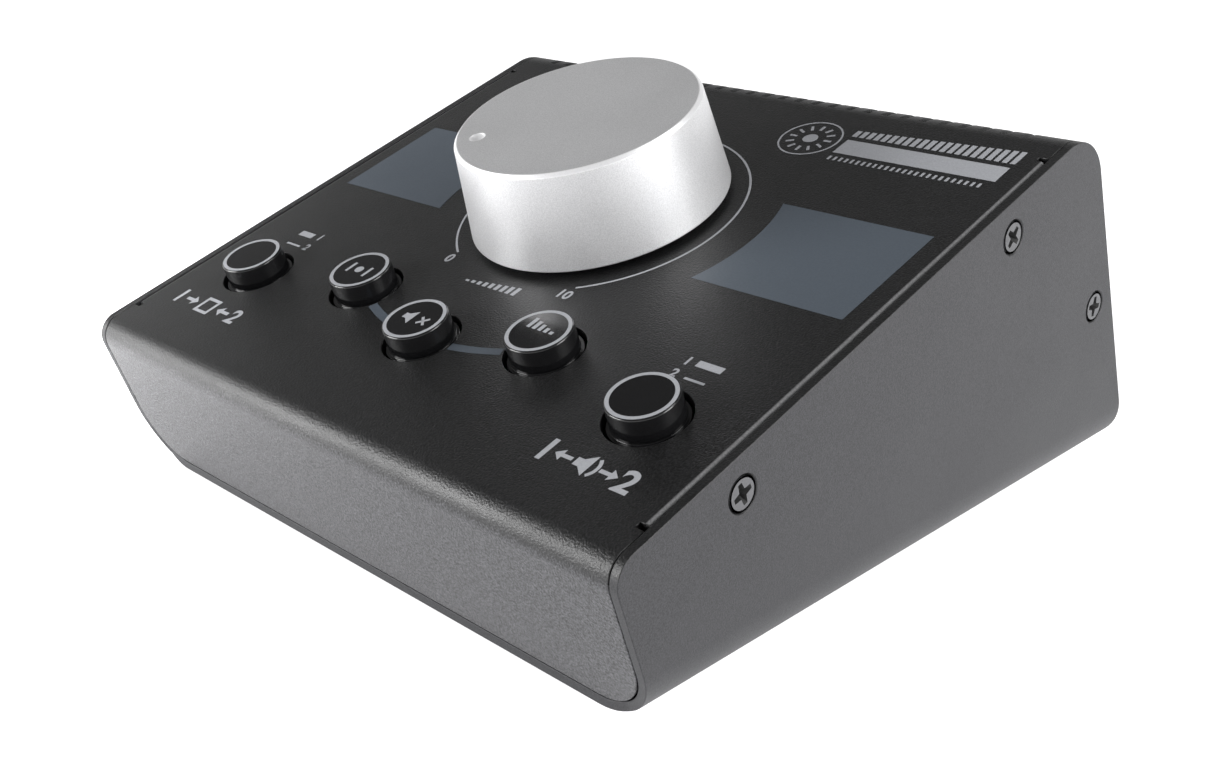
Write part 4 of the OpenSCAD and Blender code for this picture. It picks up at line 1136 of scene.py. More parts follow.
class CONTROLLER_OT_cover(bpy.types.Operator):
    """Builds the bent top cover: front lip, sloping panel, vented bend, back and side flanges"""

    bl_idname = "controller.cover"
    bl_label = "Top cover"

    def execute(self, context):
        case, buttons = context.scene.controller_case, context.scene.controller_buttons
        half = case.half_width - case.sheet - case.seam
        low = FLOOR_UNDERSIDE + case.sheet + case.seam
        corner, rear, foot = panel_corner(), rear_corner(), back_foot()
        lip = corner - OFF_PANEL * ((corner.z - low) / OFF_PANEL.z)
        end = foot + UP_BACK * (case.seam / UP_BACK.z)
        side_view = Section(
            [v.yz for v in (lip, corner, rear, end)], (case.front_bend, case.rear_bend), (14, 26)
        )
        top_flat, rear_bend = side_view.parts[2], side_view.parts[3]
        on_top = lambda s: top_flat[0] + s - case.front_bend
        up_back = lambda t: side_view.length - (t - case.seam / UP_BACK.z)

        # the flat pattern's outline, with its two flanges folded out
        bend = case.flange_bend * math.pi / 2
        inner = half - case.flange_bend
        reach = inner + bend + case.flange_depth - case.flange_bend
        radius = case.tray_bend - case.sheet - case.seam
        notch = half - case.notch_depth
        first, last = case.flange_front, case.top_length - case.flange_rear
        steps = [math.pi / 2 * k / 10 for k in range(11)]
        round_x, cut_off = half - radius, lambda a, lean: radius * (1 - a) / math.cos(lean)
        front = [
            Vector((round_x + radius * math.sin(a), cut_off(math.cos(a), SLOPE))) for a in steps
        ]
        back = [
            Vector((round_x + radius * math.cos(a), side_view.length - cut_off(math.sin(a), LEAN)))
            for a in steps
        ]
        before, after = first - case.notch_width, last + case.notch_width
        side = [Vector((x, on_top(s))) for x, s in (
            (half, before), (notch, before), (notch, first), (reach, first),
            (reach, last), (notch, last), (notch, after), (half, after),
        )]
        right = front + side + back
        outline = right + [Vector((-p.x, p.y)) for p in reversed(right)]
        folds = side_view.folds
        side_folds = [inner + bend * k / 6 for k in range(7)]

        def cut(loop, edge=case.edge):
            loop = split_at(split_at(loop, 1, folds), 0, side_folds + [-x for x in side_folds])
            return straight_rim(loop, case.sheet, edge)

        button_hole = buttons.radius + buttons.ledge + buttons.gap
        nut_x = reach - case.flange_depth + case.screw_inset
        holes = [(x, on_top(s), button_hole, 72) for x, s in button_places()]
        holes.append((0, on_top(context.scene.controller_knob.place), SHAFT_HOLE, 32))
        holes += [
            (spot.x, up_back((spot - foot).dot(UP_BACK)), JACK_HOLE, 48) for spot in jack_places()
        ]
        holes += [
            (x, on_top(s), NUT_HOLE, 24)
            for x in (-nut_x, nut_x) for s in (case.front_screw, case.back_screw)
        ]
        rims = [cut(outline)] + [cut(circle(*hole, True)) for hole in holes]

        # vent slots, from the rear bend down
        middle = rear_bend[0] + case.rear_bend * case.vent_start
        half_corner = (math.pi - (rear_bend[1] - rear_bend[0]) / case.rear_bend) / 2
        taken = case.rear_bend * (1 / math.tan(half_corner) - math.cos(half_corner))
        lowest = up_back((rear - foot).length - taken - case.vent_height)
        pattern = grow(
            slot_row, "vent_outlines", Count=case.vent_count, Pitch=case.vent_pitch,
            Width=case.vent_width, Height=lowest - middle, Corner=0.25 * MM,
        )
        for loop in loops_of(pattern):
            loop = [p + Vector((0, (lowest + middle) / 2)) for p in loop[::-area_sign(loop)]]
            rims.append(cut(loop, 0.12 * MM))
        bpy.data.meshes.remove(pattern)

        flange_zone = (on_top(first - case.notch_width / 2), on_top(last + case.notch_width / 2))

        def place(x, w, depth):
            spot, inward = side_view.at(w, depth)
            outward = Vector((0, -inward.x, -inward.y))
            over = abs(x) - inner
            r = case.flange_bend - depth
            folded = flange_zone[0] < w < flange_zone[1]
            if over <= 1e-9 or not folded:
                x = math.copysign(min(abs(x), inner + min(r, 0.0)), x) if folded else x
                return Vector((x, spot.x, spot.y)), outward
            way = math.copysign(1, x)
            a = min(over / case.flange_bend, math.pi / 2)
            # inside a bend that is tighter than the sheet, both inner faces end at the mitre
            out = inner + (r if r < 0 else r * math.sin(a))
            down = max(case.flange_bend - max(r, 0.0) * math.cos(a) + max(0.0, over - bend), depth)
            face = side_view.at(w, 0)[0]
            point = Vector((way * out, face.x, face.y)) - outward * down
            return point, ACROSS * way * math.sin(a) + outward * math.cos(a)

        def lines(_):
            across = [[Vector((x, w)) for x in (-reach - MM, reach + MM)] for w in folds]
            return across + [
                [Vector((way * x, w)) for w in flange_zone] for x in side_folds for way in (-1, 1)
            ]

        shape = Shape()
        add_sheet(shape, place, rims, lines, inner_paint=1)
        self.add_rear_tabs(shape, case, half, foot)
        piece(
            "cover_sheet", shape.mesh("cover_sheet"), [two_tone_coat(), grey_coat()],
            replaces=["top_cover"],
        )
        return {"FINISHED"}

    @staticmethod
    def add_rear_tabs(shape, case, half, foot):
        """The short tabs behind the back panel that take the rear side screws."""
        low, high = case.rear_screw - REAR_TAB / 2, case.rear_screw + REAR_TAB / 2
        for way in (-1, 1):
            def place(a, b, depth, way=way):
                # seen from outside, a runs to the right: inwards on the right tab, back on the left
                spot = foot + UP_BACK * b - OFF_BACK * a * way
                return Vector((way * (half - depth), spot.y, spot.z)), ACROSS * way

            ends = sorted((way * (case.sheet + 0.01 * MM), way * case.flange_depth))
            corners = ((0, low), (1, low), (1, high), (0, high))
            outline = [Vector((ends[i], b)) for i, b in corners]
            hole = circle(way * case.screw_inset, case.rear_screw, NUT_HOLE, 24, True)
            rims = [straight_rim(loop, case.sheet, case.edge) for loop in (outline, hole)]
            add_sheet(shape, place, rims, inner_paint=1)


class CONTROLLER_OT_tray(bpy.types.Operator):
    """Builds the U-shaped tray: floor, two side walls and their countersunk holes"""

    bl_idname = "controller.tray"
    bl_label = "Base tray"

    def execute(self, context):
        case = context.scene.controller_case
        half, bend_r, floor = case.half_width, case.tray_bend, FLOOR_UNDERSIDE
        corner, rear, foot = panel_corner(), rear_corner(), back_foot()
        high = rear.z + 5 * MM
        front_view = Section(
            [Vector(p) for p in ((-half, high), (-half, floor), (half, floor), (half, high))],
            (bend_r, bend_r), (16, 16),
        )
        middle = front_view.length / 2

        def unrolled(z):
            """Distance along the right wall's outer face from the middle of the floor."""
            up = z - floor
            if up >= bend_r:
                return half - bend_r + bend_r * math.pi / 2 + up - bend_r
            return half - bend_r + bend_r * math.acos(1 - up / bend_r)

        low_front = (corner - OFF_PANEL * ((corner.z - foot.z) / OFF_PANEL.z)).yz
        side_view = Section(
            [low_front, corner.yz, rear.yz, foot.yz], (case.front_bend, case.rear_bend), (10, 16)
        )
        marks = [side_view.parts[0][1] * k / 8 for k in range(8)] + side_view.folds
        last = side_view.parts[-1]
        marks += [last[0] + (last[1] - last[0]) * k / 12 for k in range(1, 13)]
        bend_heights = [floor + bend_r * (1 - math.cos(math.pi / 2 * k / 16)) for k in range(1, 16)]
        for z in bend_heights:  # the bend's flats meet the front and the rear edge
            if z > foot.z:
                marks.append((z - foot.z) / OFF_PANEL.z)
                marks.append(side_view.length - (z - foot.z) / UP_BACK.z)
        spots = [side_view.at(w)[0] for w in sorted(set(marks))]
        profile = [Vector((spot.x, unrolled(spot.y))) for spot in spots]
        start_u = half - bend_r
        low_us = [start_u] + [unrolled(z) for z in bend_heights if z < foot.z]
        low_bend = [Vector((low_front.x, u)) for u in low_us]
        low_rear = [Vector((foot.y, u)) for u in reversed(low_us)]
        right = low_bend + profile + low_rear
        # the pattern's first axis runs to the back and its second to the right
        outline = [Vector((p.x, -p.y)) for p in reversed(right)] + right
        rims = [straight_rim(outline[::area_sign(outline)], case.sheet, case.edge)]
        edge, outer, inner = case.edge, case.countersink, SCREW_HOLE
        for spot, outward in side_screw_places():
            u = unrolled(spot.z) * math.copysign(1, outward.x)
            rings = (
                (outer + edge, 0.0, 0.0), (outer + 0.3 * edge, 0.1 * edge, math.radians(22)),
                (outer - 0.3 * edge, 0.5 * edge, math.radians(45)),
                (inner, outer - inner, math.radians(50)), (inner, case.sheet, math.radians(90)),
            )
            rims.append([(circle(spot.y, u, r, 48, True), depth, tilt) for r, depth, tilt in rings])

        def place(y, u, depth):
            spot, inward = front_view.at(middle + u, depth)
            return Vector((spot.x, y, spot.y)), Vector((-inward.x, 0, -inward.y))

        def lines(loops):
            made = []
            for way in (-1, 1):
                for k in range(17):
                    u = way * (start_u + bend_r * math.pi / 2 * k / 16)
                    near = [p for p in loops[0] if abs(p.y - u) < 0.6 * case.edge]
                    if len(near) > 1:
                        made.append((min(near, key=lambda p: p.x), max(near, key=lambda p: p.x)))
            return made

        def rim_paint(corners):
            """1 on the edges that the black top coat covers: along the top and down the back."""
            spot = sum((point for point, _ in corners), Vector()) / 4
            facing = sum((normal for _, normal in corners), Vector()).normalized()
            covered = (spot - corner).dot(UP_SLOPE + OFF_PANEL) > -case.paint_end * 0.2
            return int(covered and abs(facing.x) < 0.8 and spot.z > foot.z + 2 * MM)

        shape = Shape()
        add_sheet(shape, place, rims, lines, rim_paint=rim_paint)
        piece(
            "tray_sheet", shape.mesh("tray_sheet"), [grey_coat(), black_coat()],
            replaces=["base_tray"],
        )
        return {"FINISHED"}


class CONTROLLER_OT_screws(bpy.types.Operator):
    """Sets six countersunk cross-head screws in the side walls"""

    bl_idname = "controller.screws"
    bl_label = "Side screws"

    def execute(self, context):
        case = context.scene.controller_case
        head, shank = case.screw_head, 1.5 * MM
        face = -(case.countersink - head - 0.03 * MM)
        shape = Shape()
        cross = self.cross_outline()
        sunk = [p * 0.4 for p in cross]
        rounded = 0.25 * MM
        add_plane(shape, Matrix(), [circle(0, 0, head - rounded, 48), cross[::-1]], face)
        # the walls and the floor of the cross recess are near-black, painted shade inside the recess
        add_walls(shape, Matrix(), cross[::-1], face, sunk[::-1], face - 1.1 * MM, 1)
        add_plane(shape, Matrix(), [sunk], face - 1.1 * MM, 1)
        profile = [(head - rounded, face), (head, face), (shank, face - (head - shank)),
                   (shank, face - 5 * MM), (0, face - 5 * MM)]
        add_lathe(shape, runs(profile, {1: rounded, 3: 0.2 * MM}), Matrix(), 48)
        spots = [
            (*place, math.radians(20 + 31 * k)) for k, place in enumerate(side_screw_places())
        ]
        # the second coat is near-black, painted shade for the cross recess
        coats = [
            moulded("screw_grey", (0.085, 0.085, 0.09), 0.44, 0.2 * MM, 0.02 * MM),
            moulded("screw_recess", (0.006, 0.006, 0.006), 0.7),
        ]
        add_set("side_screw_set", shape, spots, coats, "side_screws")
        return {"FINISHED"}

    @staticmethod
    def cross_outline():
        """A cross-shaped opening with four arms and a root between each two."""
        root = turned(Vector((0.85 * MM, 0)), math.pi / 4)
        arm = [Vector((1.9 * MM, -0.4 * MM)), Vector((1.9 * MM, 0.4 * MM)), root]
        return [turned(p, math.pi / 2 * k) for k in range(4) for p in arm]


class CONTROLLER_OT_feet(bpy.types.Operator):
    """Sets four rubber feet under the tray"""

    bl_idname = "controller.feet"
    bl_label = "Rubber feet"

    def execute(self, context):
        low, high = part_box("rubber_feet")
        r = context.scene.controller_back.foot_radius
        tall = high.z - low.z
        profile = [(0, tall), (r, tall), (r - 0.4 * MM, 0.3 * MM), (r - 0.8 * MM, 0),
                   (r - 2.2 * MM, 0), (r - 2.6 * MM, 0.5 * MM), (0, 0.5 * MM)]
        spots = [
            (Vector((x, y, low.z)), Vector((0, 0, 1)), 0.0)
            for x in (low.x + r, high.x - r) for y in (low.y + r, high.y - r)
        ]
        rubber = moulded("foot_rubber", (0.018, 0.018, 0.018), 0.78, 0.35 * MM, 0.03 * MM)
        foot = lathed(profile, {2: 0.3 * MM})
        add_set("foot_set", foot, spots, [rubber], "rubber_feet")
        return {"FINISHED"}


# ---- the knob and the buttons --------------------------------------------------------------

class CONTROLLER_OT_knob(bpy.types.Operator):
    """Builds the tapered metal shell of the volume knob with its pointer dimple"""

    bl_idname = "controller.knob"
    bl_label = "Volume knob"

    def execute(self, context):
        knob = context.scene.controller_knob
        where = panel_frame(0, knob.place) @ Matrix.Rotation(-knob.pointer, 4, "Z")

        def radius(h):
            share = (h - knob.gap) / (knob.height - knob.gap)
            return knob.base_radius + (knob.top_radius - knob.base_radius) * share

        bevel_h = knob.height - knob.bevel
        rim = radius(bevel_h) - knob.bevel
        ceiling = knob.height - knob.roof
        flat_edge = rim - 0.15 * MM
        outside = [(flat_edge, knob.height), (rim, knob.height), (radius(bevel_h), bevel_h),
                   (knob.base_radius, knob.gap), (knob.base_radius - knob.wall, knob.gap),
                   (radius(ceiling) - knob.wall, ceiling), (0, ceiling)]
        shape = Shape()
        stretches = runs(outside, {1: 0.2 * MM, 2: 0.3 * MM, 3: 0.25 * MM, 4: 0.2 * MM})
        # the bevel at the top's rim gets the lighter aluminium, a painted highlight along the rim
        bright = [
            (a, n, b, m) for a, n, b, m in stretches
            if min(a.y, b.y) >= bevel_h - 0.2 * MM and b.x <= radius(bevel_h) + 1e-9
        ]
        add_lathe(shape, [s for s in stretches if s not in bright], where, 192)
        add_lathe(shape, bright, where, 192, 1)

        # the flat top around the dimple, then the dimple as a shallow bowl with a soft rim
        r, deep, soft, y = knob.dimple_radius, knob.dimple_depth, 0.08 * MM, knob.dimple_place
        loops = [circle(0, 0, flat_edge, 192), circle(0, y, r + soft, 48, True)]
        add_plane(shape, where, loops, knob.height)
        ball = (r * r + deep * deep) / (2 * deep)
        reach = math.asin(r / ball)
        bowl = [(Vector((r + soft, 0)), Vector((0, 1)))]
        for k in range(7):
            a = reach * (1 - k / 6)
            bowl.append((
                Vector((ball * math.sin(a), ball * (math.cos(reach) - math.cos(a)))),
                Vector((-math.sin(a), math.cos(a))),
            ))
        dimple = [(*b, *a) for a, b in zip(bowl, bowl[1:])]
        # the dimple gets the lighter aluminium too, a painted glint in its bowl
        add_lathe(shape, dimple, where @ Matrix.Translation((0, y, knob.height)), 48, 1)
        piece(
            "knob_shell", shape.mesh("knob_shell"), [blasted_aluminium(), bright_aluminium()],
            body="volume_knob", replaces=["volume_knob_shell"],
        )
        return {"FINISHED"}


class CONTROLLER_OT_buttons(bpy.types.Operator):
    """Builds the five round push-button caps with their collars"""

    bl_idname = "controller.buttons"
    bl_label = "Button caps"

    def execute(self, context):
        b = context.scene.controller_buttons
        collar, cavity, roof = b.radius + b.ledge, b.radius - 1.2 * MM, b.height - 1.4 * MM
        plastic = moulded("cap_plastic", tuple(b.plastic), 0.15, 0.5 * MM, 0.002 * MM)
        # a square boss under each cap takes the plunger in its socket
        outer, hollow = polygon(rectangle(4.8, 4.8)), polygon(rectangle(3.06, 3.06)[::-1])
        step = -0.7 * MM
        for key, (x, s) in zip(KEYS, button_places()):
            where = panel_frame(x, s)
            profile = [(0, b.height), (b.radius, b.height), (b.radius, step), (collar, step),
                       (collar, -b.foot), (cavity, -b.foot), (cavity, roof), (0, roof)]
            shape = Shape()
            add_lathe(shape, runs(profile, {1: b.bevel, 2: 0.15 * MM, 3: 0.2 * MM}), where, 96)
            top, boss = roof + 0.3 * MM, [outer, hollow]
            for loop in boss:
                add_walls(shape, where, loop, top, loop, -b.foot)
            add_plane(shape, where, boss, top)
            add_plane(shape, where @ Matrix.Rotation(math.pi, 4, "X"), boss, b.foot)
            piece(
                key + "_cap", shape.mesh(key + "_cap"), [plastic], body=key + "_key",
                replaces=[key + "_button"],
            )
        return {"FINISHED"}


class CONTROLLER_OT_springs(bpy.types.Operator):
    """Coils the return springs under the caps"""

    bl_idname = "controller.springs"
    bl_label = "Return springs"

    def execute(self, context):
        b = context.scene.controller_buttons
        for key, (x, s) in zip(KEYS, button_places()):
            packed = frame["nodes"][key + "_spring"].data.vertices
            heights = [(v.co - panel_corner()).dot(OFF_PANEL) for v in packed]
            low, length = min(heights), max(heights) - min(heights)
            mesh = grow(
                coil_spring, key + "_coil", Radius=b.spring_radius, Wire=b.spring_wire,
                Turns=b.spring_turns, Length=length, Material=steel(),
            )
            mesh.transform(panel_frame(x, s, low))
            bm = bmesh.new()
            bm.from_mesh(mesh)
            bmesh.ops.recalc_face_normals(bm, faces=bm.faces)
            bm.to_mesh(mesh)
            bm.free()
            mesh.shade_smooth()
            coil = piece(key + "_coil", mesh, [steel()], replaces=[key + "_spring"])
            foot = panel_frame(x, s, low).translation
            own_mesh(coil)
        return {"FINISHED"}


# ---- prints --------------------------------------------------------------------------------

def digit(text, height, film):
    """A plain digit as a thin flat mesh around its own middle."""
    curve = bpy.data.curves.new("digit", "FONT")
    curve.body, curve.extrude, curve.align_x, curve.offset = text, film, "CENTER", 0.025
    holder = bpy.data.objects.new("digit", curve)
    bpy.context.scene.collection.objects.link(holder)
    bpy.context.view_layer.update()
    evaluated = holder.evaluated_get(bpy.context.evaluated_depsgraph_get())
    made = bpy.data.meshes.new_from_object(evaluated)
    bpy.data.objects.remove(holder)
    bpy.data.curves.remove(curve)
    xs, ys = [v.co.x for v in made.vertices], [v.co.y for v in made.vertices]
    middle = Vector((max(xs) + min(xs), max(ys) + min(ys))) / 2
    scale = height / (max(ys) - min(ys))
    for v in made.vertices:
        v.co = Vector((*(v.co.xy - middle) * scale, math.copysign(film / 2, v.co.z)))
    return made


# the outlines of two marks, in millimetres
ARROW = [
    (-1.5, -0.32), (0.3, -0.32), (0.3, -1.05), (1.6, 0), (0.3, 1.05), (0.3, 0.32), (-1.5, 0.32),
]
SPEAKER = [(-1.5, -0.65), (-0.6, -0.65), (0.75, -1.75), (0.75, 1.75), (-0.6, 0.65), (-1.5, 0.65)]


class CONTROLLER_OT_prints(bpy.types.Operator):
    """Prints the dial line, the slate fields, the marks and the rings on panel and caps"""

    bl_idname = "controller.prints"
    bl_label = "Prints"

    def execute(self, context):
        self.film = context.scene.controller_print.film
        self.panel_ink(context)
        self.panel_fields(context)
        self.cap_ink(context)
        return {"FINISHED"}

    def ring(self, radius, width, start=0.0, sweep=2 * math.pi, points=97):
        return grow(
            flat_ring, "ring", Radius=radius, Width=width, Thickness=self.film, Start=start,
            Sweep=sweep, Points=points,
        )

    def bars(self, count, pitch, width, first, last):
        return grow(
            bar_row, "bars", Count=count, Pitch=pitch * MM, Width=width * MM,
            First_height=first * MM, Last_height=last * MM, Thickness=self.film,
        )

    def dot(self, radius, n):
        return slab([circle(0, 0, radius * MM, n)], self.film)

    def flat(self, points, turn=0.0, scale=1.0, holes=()):
        loops = [points, *(hole[::-1] for hole in holes)]
        loops = [[turned(Vector(p), turn) * scale * MM for p in loop] for loop in loops]
        return slab(loops, self.film)

    def panel_ink(self, context):
        ink, half_turn = context.scene.controller_print, math.pi
        start = math.pi / 2 - ink.dial_reach
        dial = self.ring(ink.dial_radius, ink.dial_width, start, 2 * ink.dial_reach, 193)
        parts = [(dial, panel_frame(0, context.scene.controller_knob.place))]

        def put(x, s, mesh, h=0.0):
            parts.append((mesh, panel_frame(x * MM, s * MM, h)))

        # the dial's ends, then the digits beside the outer keys and those of their captions
        for x, s, text, tall in (
            (-15.6, 47.0, "0", 2.5), (15.4, 46.8, "10", 2.4),
            (-49.6, 41.5, "1", 2.0), (-49.4, 37.8, "2", 2.0),
            (48.4, 40.9, "1", 2.0), (48.4, 37.6, "2", 2.0),
            (-60.6, 14.9, "1", 4.0), (-41.9, 14.9, "2", 4.0),
            (43.2, 14.8, "1", 4.8), (59.4, 14.8, "2", 4.8),
        ):
            put(x, s, digit(text, tall * MM, self.film), self.film / 2)
        # bars beside the outer keys, and the plain light field
        for x, s, wide, tall in (
            (-53.8, 41.2, 4.2, 1.5), (-53.4, 37.4, 4.2, 0.5), (52.7, 41.0, 5.0, 1.5),
            (52.7, 37.2, 4.0, 0.5), (47.0, 106.1, 33.5, 4.9),
        ):
            put(x, s, self.flat(rectangle(wide, tall)))
        # the captions: two inputs into a box, and a speaker between two outputs
        for x, s, turn, scale in (
            (-56.6, 14.9, 0.0, 1.2), (-45.8, 14.9, half_turn, 1.2),
            (46.7, 14.8, half_turn, 1.15), (55.7, 14.8, 0.0, 1.15),
        ):
            put(x, s, self.flat(ARROW, turn, scale))
        put(-51.2, 14.9, self.flat(rectangle(4.4, 4.4), holes=[rectangle(3.0, 3.0)]))
        put(51.0, 14.8, self.flat(SPEAKER, scale=1.3))
        put(50.7, 14.8, self.ring(2.7 * MM, 0.6 * MM, -0.75, 1.5, 13))
        # bars under the knob, over the light field and under it
        for x, s, *row in (
            (0, 42.6, 9, 1.5, 0.85, 0.5, 2.3), (47.0, 109.9, 22, 1.56, 1.0, 2.2, 4.3),
            (46.4, 101.1, 26, 1.24, 0.5, 1.3, 1.3),
        ):
            put(x, s, self.bars(*row), self.film / 2)
        # a round dial mark
        dashes = grow(
            dash_ring, "dashes", Count=12, Radius=3.9 * MM, Length=1.6 * MM, Width=0.55 * MM,
            Thickness=self.film,
        )
        put(22.8, 106.9, self.ring(6.1 * MM, 0.36 * MM))
        put(22.8, 106.9, dashes, self.film / 2)
        put(22.8, 106.9, self.dot(1.5, 40))
        piece("panel_ink", joined("panel_ink", parts), [light_ink()])

    def panel_fields(self, context):
        knob, ends, radius, reach = context.scene.controller_knob, (59.5, 85.0), 35.4, 21.1
        parts = []
        for way in (-1, 1):
            arc = [math.radians(reach * (1 - k / 12)) for k in range(25)]
            points = [(63.8, s) for s in ends] + [
                (radius * math.cos(a), knob.place / MM + radius * math.sin(a)) for a in arc
            ]
            field = [(way * x, s) for x, s in points[::way]]
            parts.append((slab([polygon(field)], self.film), panel_frame()))
        for start in (-90 + 9.2, -90 - 22.2):
            sweep = math.radians(13)
            band = self.ring(46.2 * MM, 1.7 * MM, math.radians(start), sweep, 25)
            parts.append((band, panel_frame(0, knob.place)))
        piece("panel_fields", joined("panel_fields", parts), [slate_ink()])

    def cap_ink(self, context):
        b, slant = context.scene.controller_buttons, math.pi / 4
        stroke = [(self.flat([(x + 2.2 * math.cos(a), y - 2.2 * math.sin(a))
                              for x, y in rectangle(2.6, 0.5)]), a) for a in (slant, -slant)]
        sides = [(self.flat(rectangle(0.6, 2.8, x)), 0.0) for x in (-2.4, 2.4)]
        marks = {
            "mono": [(self.dot(0.9, 32), 0.0), *sides],
            "mute": [(self.flat([(x - 1.2, y) for x, y in SPEAKER]), 0.0), *stroke],
            "dim": [(self.bars(5, 1.3, 0.75, 2.6, 0.7), 0.0)],
        }
        for key, (x, s) in zip(KEYS, button_places()):
            top, name = panel_frame(x, s, b.height), key + "_cap_ink"
            parts = [(self.ring(b.ring_radius - b.ring_width / 2, b.ring_width), top)]
            for mesh, turn in marks.get(key, []):
                parts.append((mesh, top @ Matrix.Rotation(turn, 4, "Z")))
            piece(name, joined(name, parts), [light_ink()], body=key + "_key")


# ---- the back and the inside ---------------------------------------------------------------

class CONTROLLER_OT_jacks(bpy.types.Operator):
    """Sets the threaded bushings, washers and nuts of the eight jacks in the back"""

    bl_idname = "controller.jacks"
    bl_label = "Jack hardware"

    def execute(self, context):
        back = context.scene.controller_back
        outer, bore, edge = back.bushing, back.bore, 0.4 * MM

        # the bushing, with its thread as fine grooves on the part that shows
        thread, pitch, deep = [], 0.75 * MM, 0.22 * MM
        h = back.nose - edge
        while h > back.washer_height + back.nut_height - pitch:
            thread += [(outer, h), (outer - deep, h - pitch / 2)]
            h -= pitch
        sleeve = outer - 0.05 * MM
        profile = [(bore, back.nose), (outer - edge, back.nose), *thread, (sleeve, h),
                   (sleeve, -back.seat), (bore, -back.seat), (bore, back.nose)]
        self.make("bushing", lathed(profile, {1: 0.15 * MM}))

        inner, wide, thick = outer + 0.1 * MM, back.washer, back.washer_height
        profile = [(inner, thick), (wide, thick), (wide, 0), (inner, 0), (inner, thick)]
        self.make("washer", lathed(profile, {1: 0.15 * MM, 2: 0.15 * MM}))
        self.make("nut", self.nut_shape(back, outer + 0.04 * MM), 17, 23)
        return {"FINISHED"}

    @staticmethod
    def make(kind, shape, first=0, step=0):
        """Sets one kind in all the bores, the first turned by first and each next by step more."""
        spots = [
            (spot, OFF_BACK, math.radians(first + step * k)) for k, spot in enumerate(jack_places())
        ]
        add_set(kind + "_set", shape, spots, [nickel()], f"jack_{kind}s")

    @staticmethod
    def nut_shape(back, bore):
        """A hexagon nut whose corners are turned off at both faces."""
        shape = Shape()
        flats, low, n = back.nut_flats / 2, back.washer_height, 72
        high, face = low + back.nut_height, 0.97 * flats
        round_face, hole = circle(0, 0, face, n), circle(0, 0, bore, n, True)
        add_plane(shape, Matrix(), [round_face, hole], high)
        add_plane(shape, Matrix.Rotation(math.pi, 4, "X"), [round_face, hole], -low)
        add_walls(shape, Matrix(), hole, high, hole, low)
        rows = []
        for k, p in enumerate(round_face):
            from_flat = (2 * math.pi * k / n + math.pi / 6) % (math.pi / 3) - math.pi / 6
            q = p * (flats / math.cos(from_flat) / face)
            fall = (q.length - face) * 0.45
            rows.append([
                Vector((*p, high)), Vector((*q, high - fall)), Vector((*q, low + fall)),
                Vector((*p, low)),
            ])
        for one, other in zip(rows, rows[1:] + rows[:1]):
            for a in range(3):
                add_quad(shape, [one[a], one[a + 1], other[a + 1], other[a]])
        return shape


class CONTROLLER_OT_inside(bpy.types.Operator):
    """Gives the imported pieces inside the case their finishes"""

    bl_idname = "controller.inside"
    bl_label = "Inner pieces"

    def execute(self, context):
        tin = plated("tin", (0.62, 0.6, 0.55), 0.3)
        brass = plated("turned_brass", (0.72, 0.52, 0.25), 0.3, 0.2)
        gold = plated("gold", (0.83, 0.6, 0.25), 0.25)
        white = moulded("milky_white", (0.66, 0.66, 0.62), 0.42)
        chip = moulded("chip_ceramic", (0.36, 0.28, 0.19), 0.35, 0.3 * MM)
        black = black_plastic()
        finishes = {
            "press_nuts": steel(), "volume_knob_core": black, "volume_shaft": steel(),
            "volume_wipers": brass,
            "volume_pot_body": moulded("pot_body", (0.05, 0.055, 0.06), 0.4),
            "volume_pot_bushing": brass, "volume_pot_washer": steel(), "volume_pot_nut": nickel(),
            "volume_pot_pins": tin, "switch_pins": tin, "control_board": circuit_board(),
            "control_board_parts": chip, "board_standoffs": brass, "board_screws": steel(),
            "jack_contacts": tin, "jack_board": circuit_board(), "jack_board_parts": chip,
            "control_header": black, "jack_header": black, "header_pins": gold,
            "ribbon_plugs": black, "ribbon_cable": ribbon_vinyl(),
        }
        for key in KEYS:
            finishes[key + "_plunger"] = white
            finishes[key + "_switch"] = black
        for bore in BORES:
            finishes[bore["name"].rsplit("_", 1)[0] + "_jack"] = black
        for node, material in finishes.items():
            for slot in frame["nodes"][node].material_slots:
                slot.material = material
        left_out = [
            name for name, node in frame["nodes"].items()
            if not node.hide_render and name not in finishes
        ]
        if left_out:
            raise RuntimeError(f"these pieces have no finish: {left_out}")
        return {"FINISHED"}


# ---- the stage -----------------------------------------------------------------------------

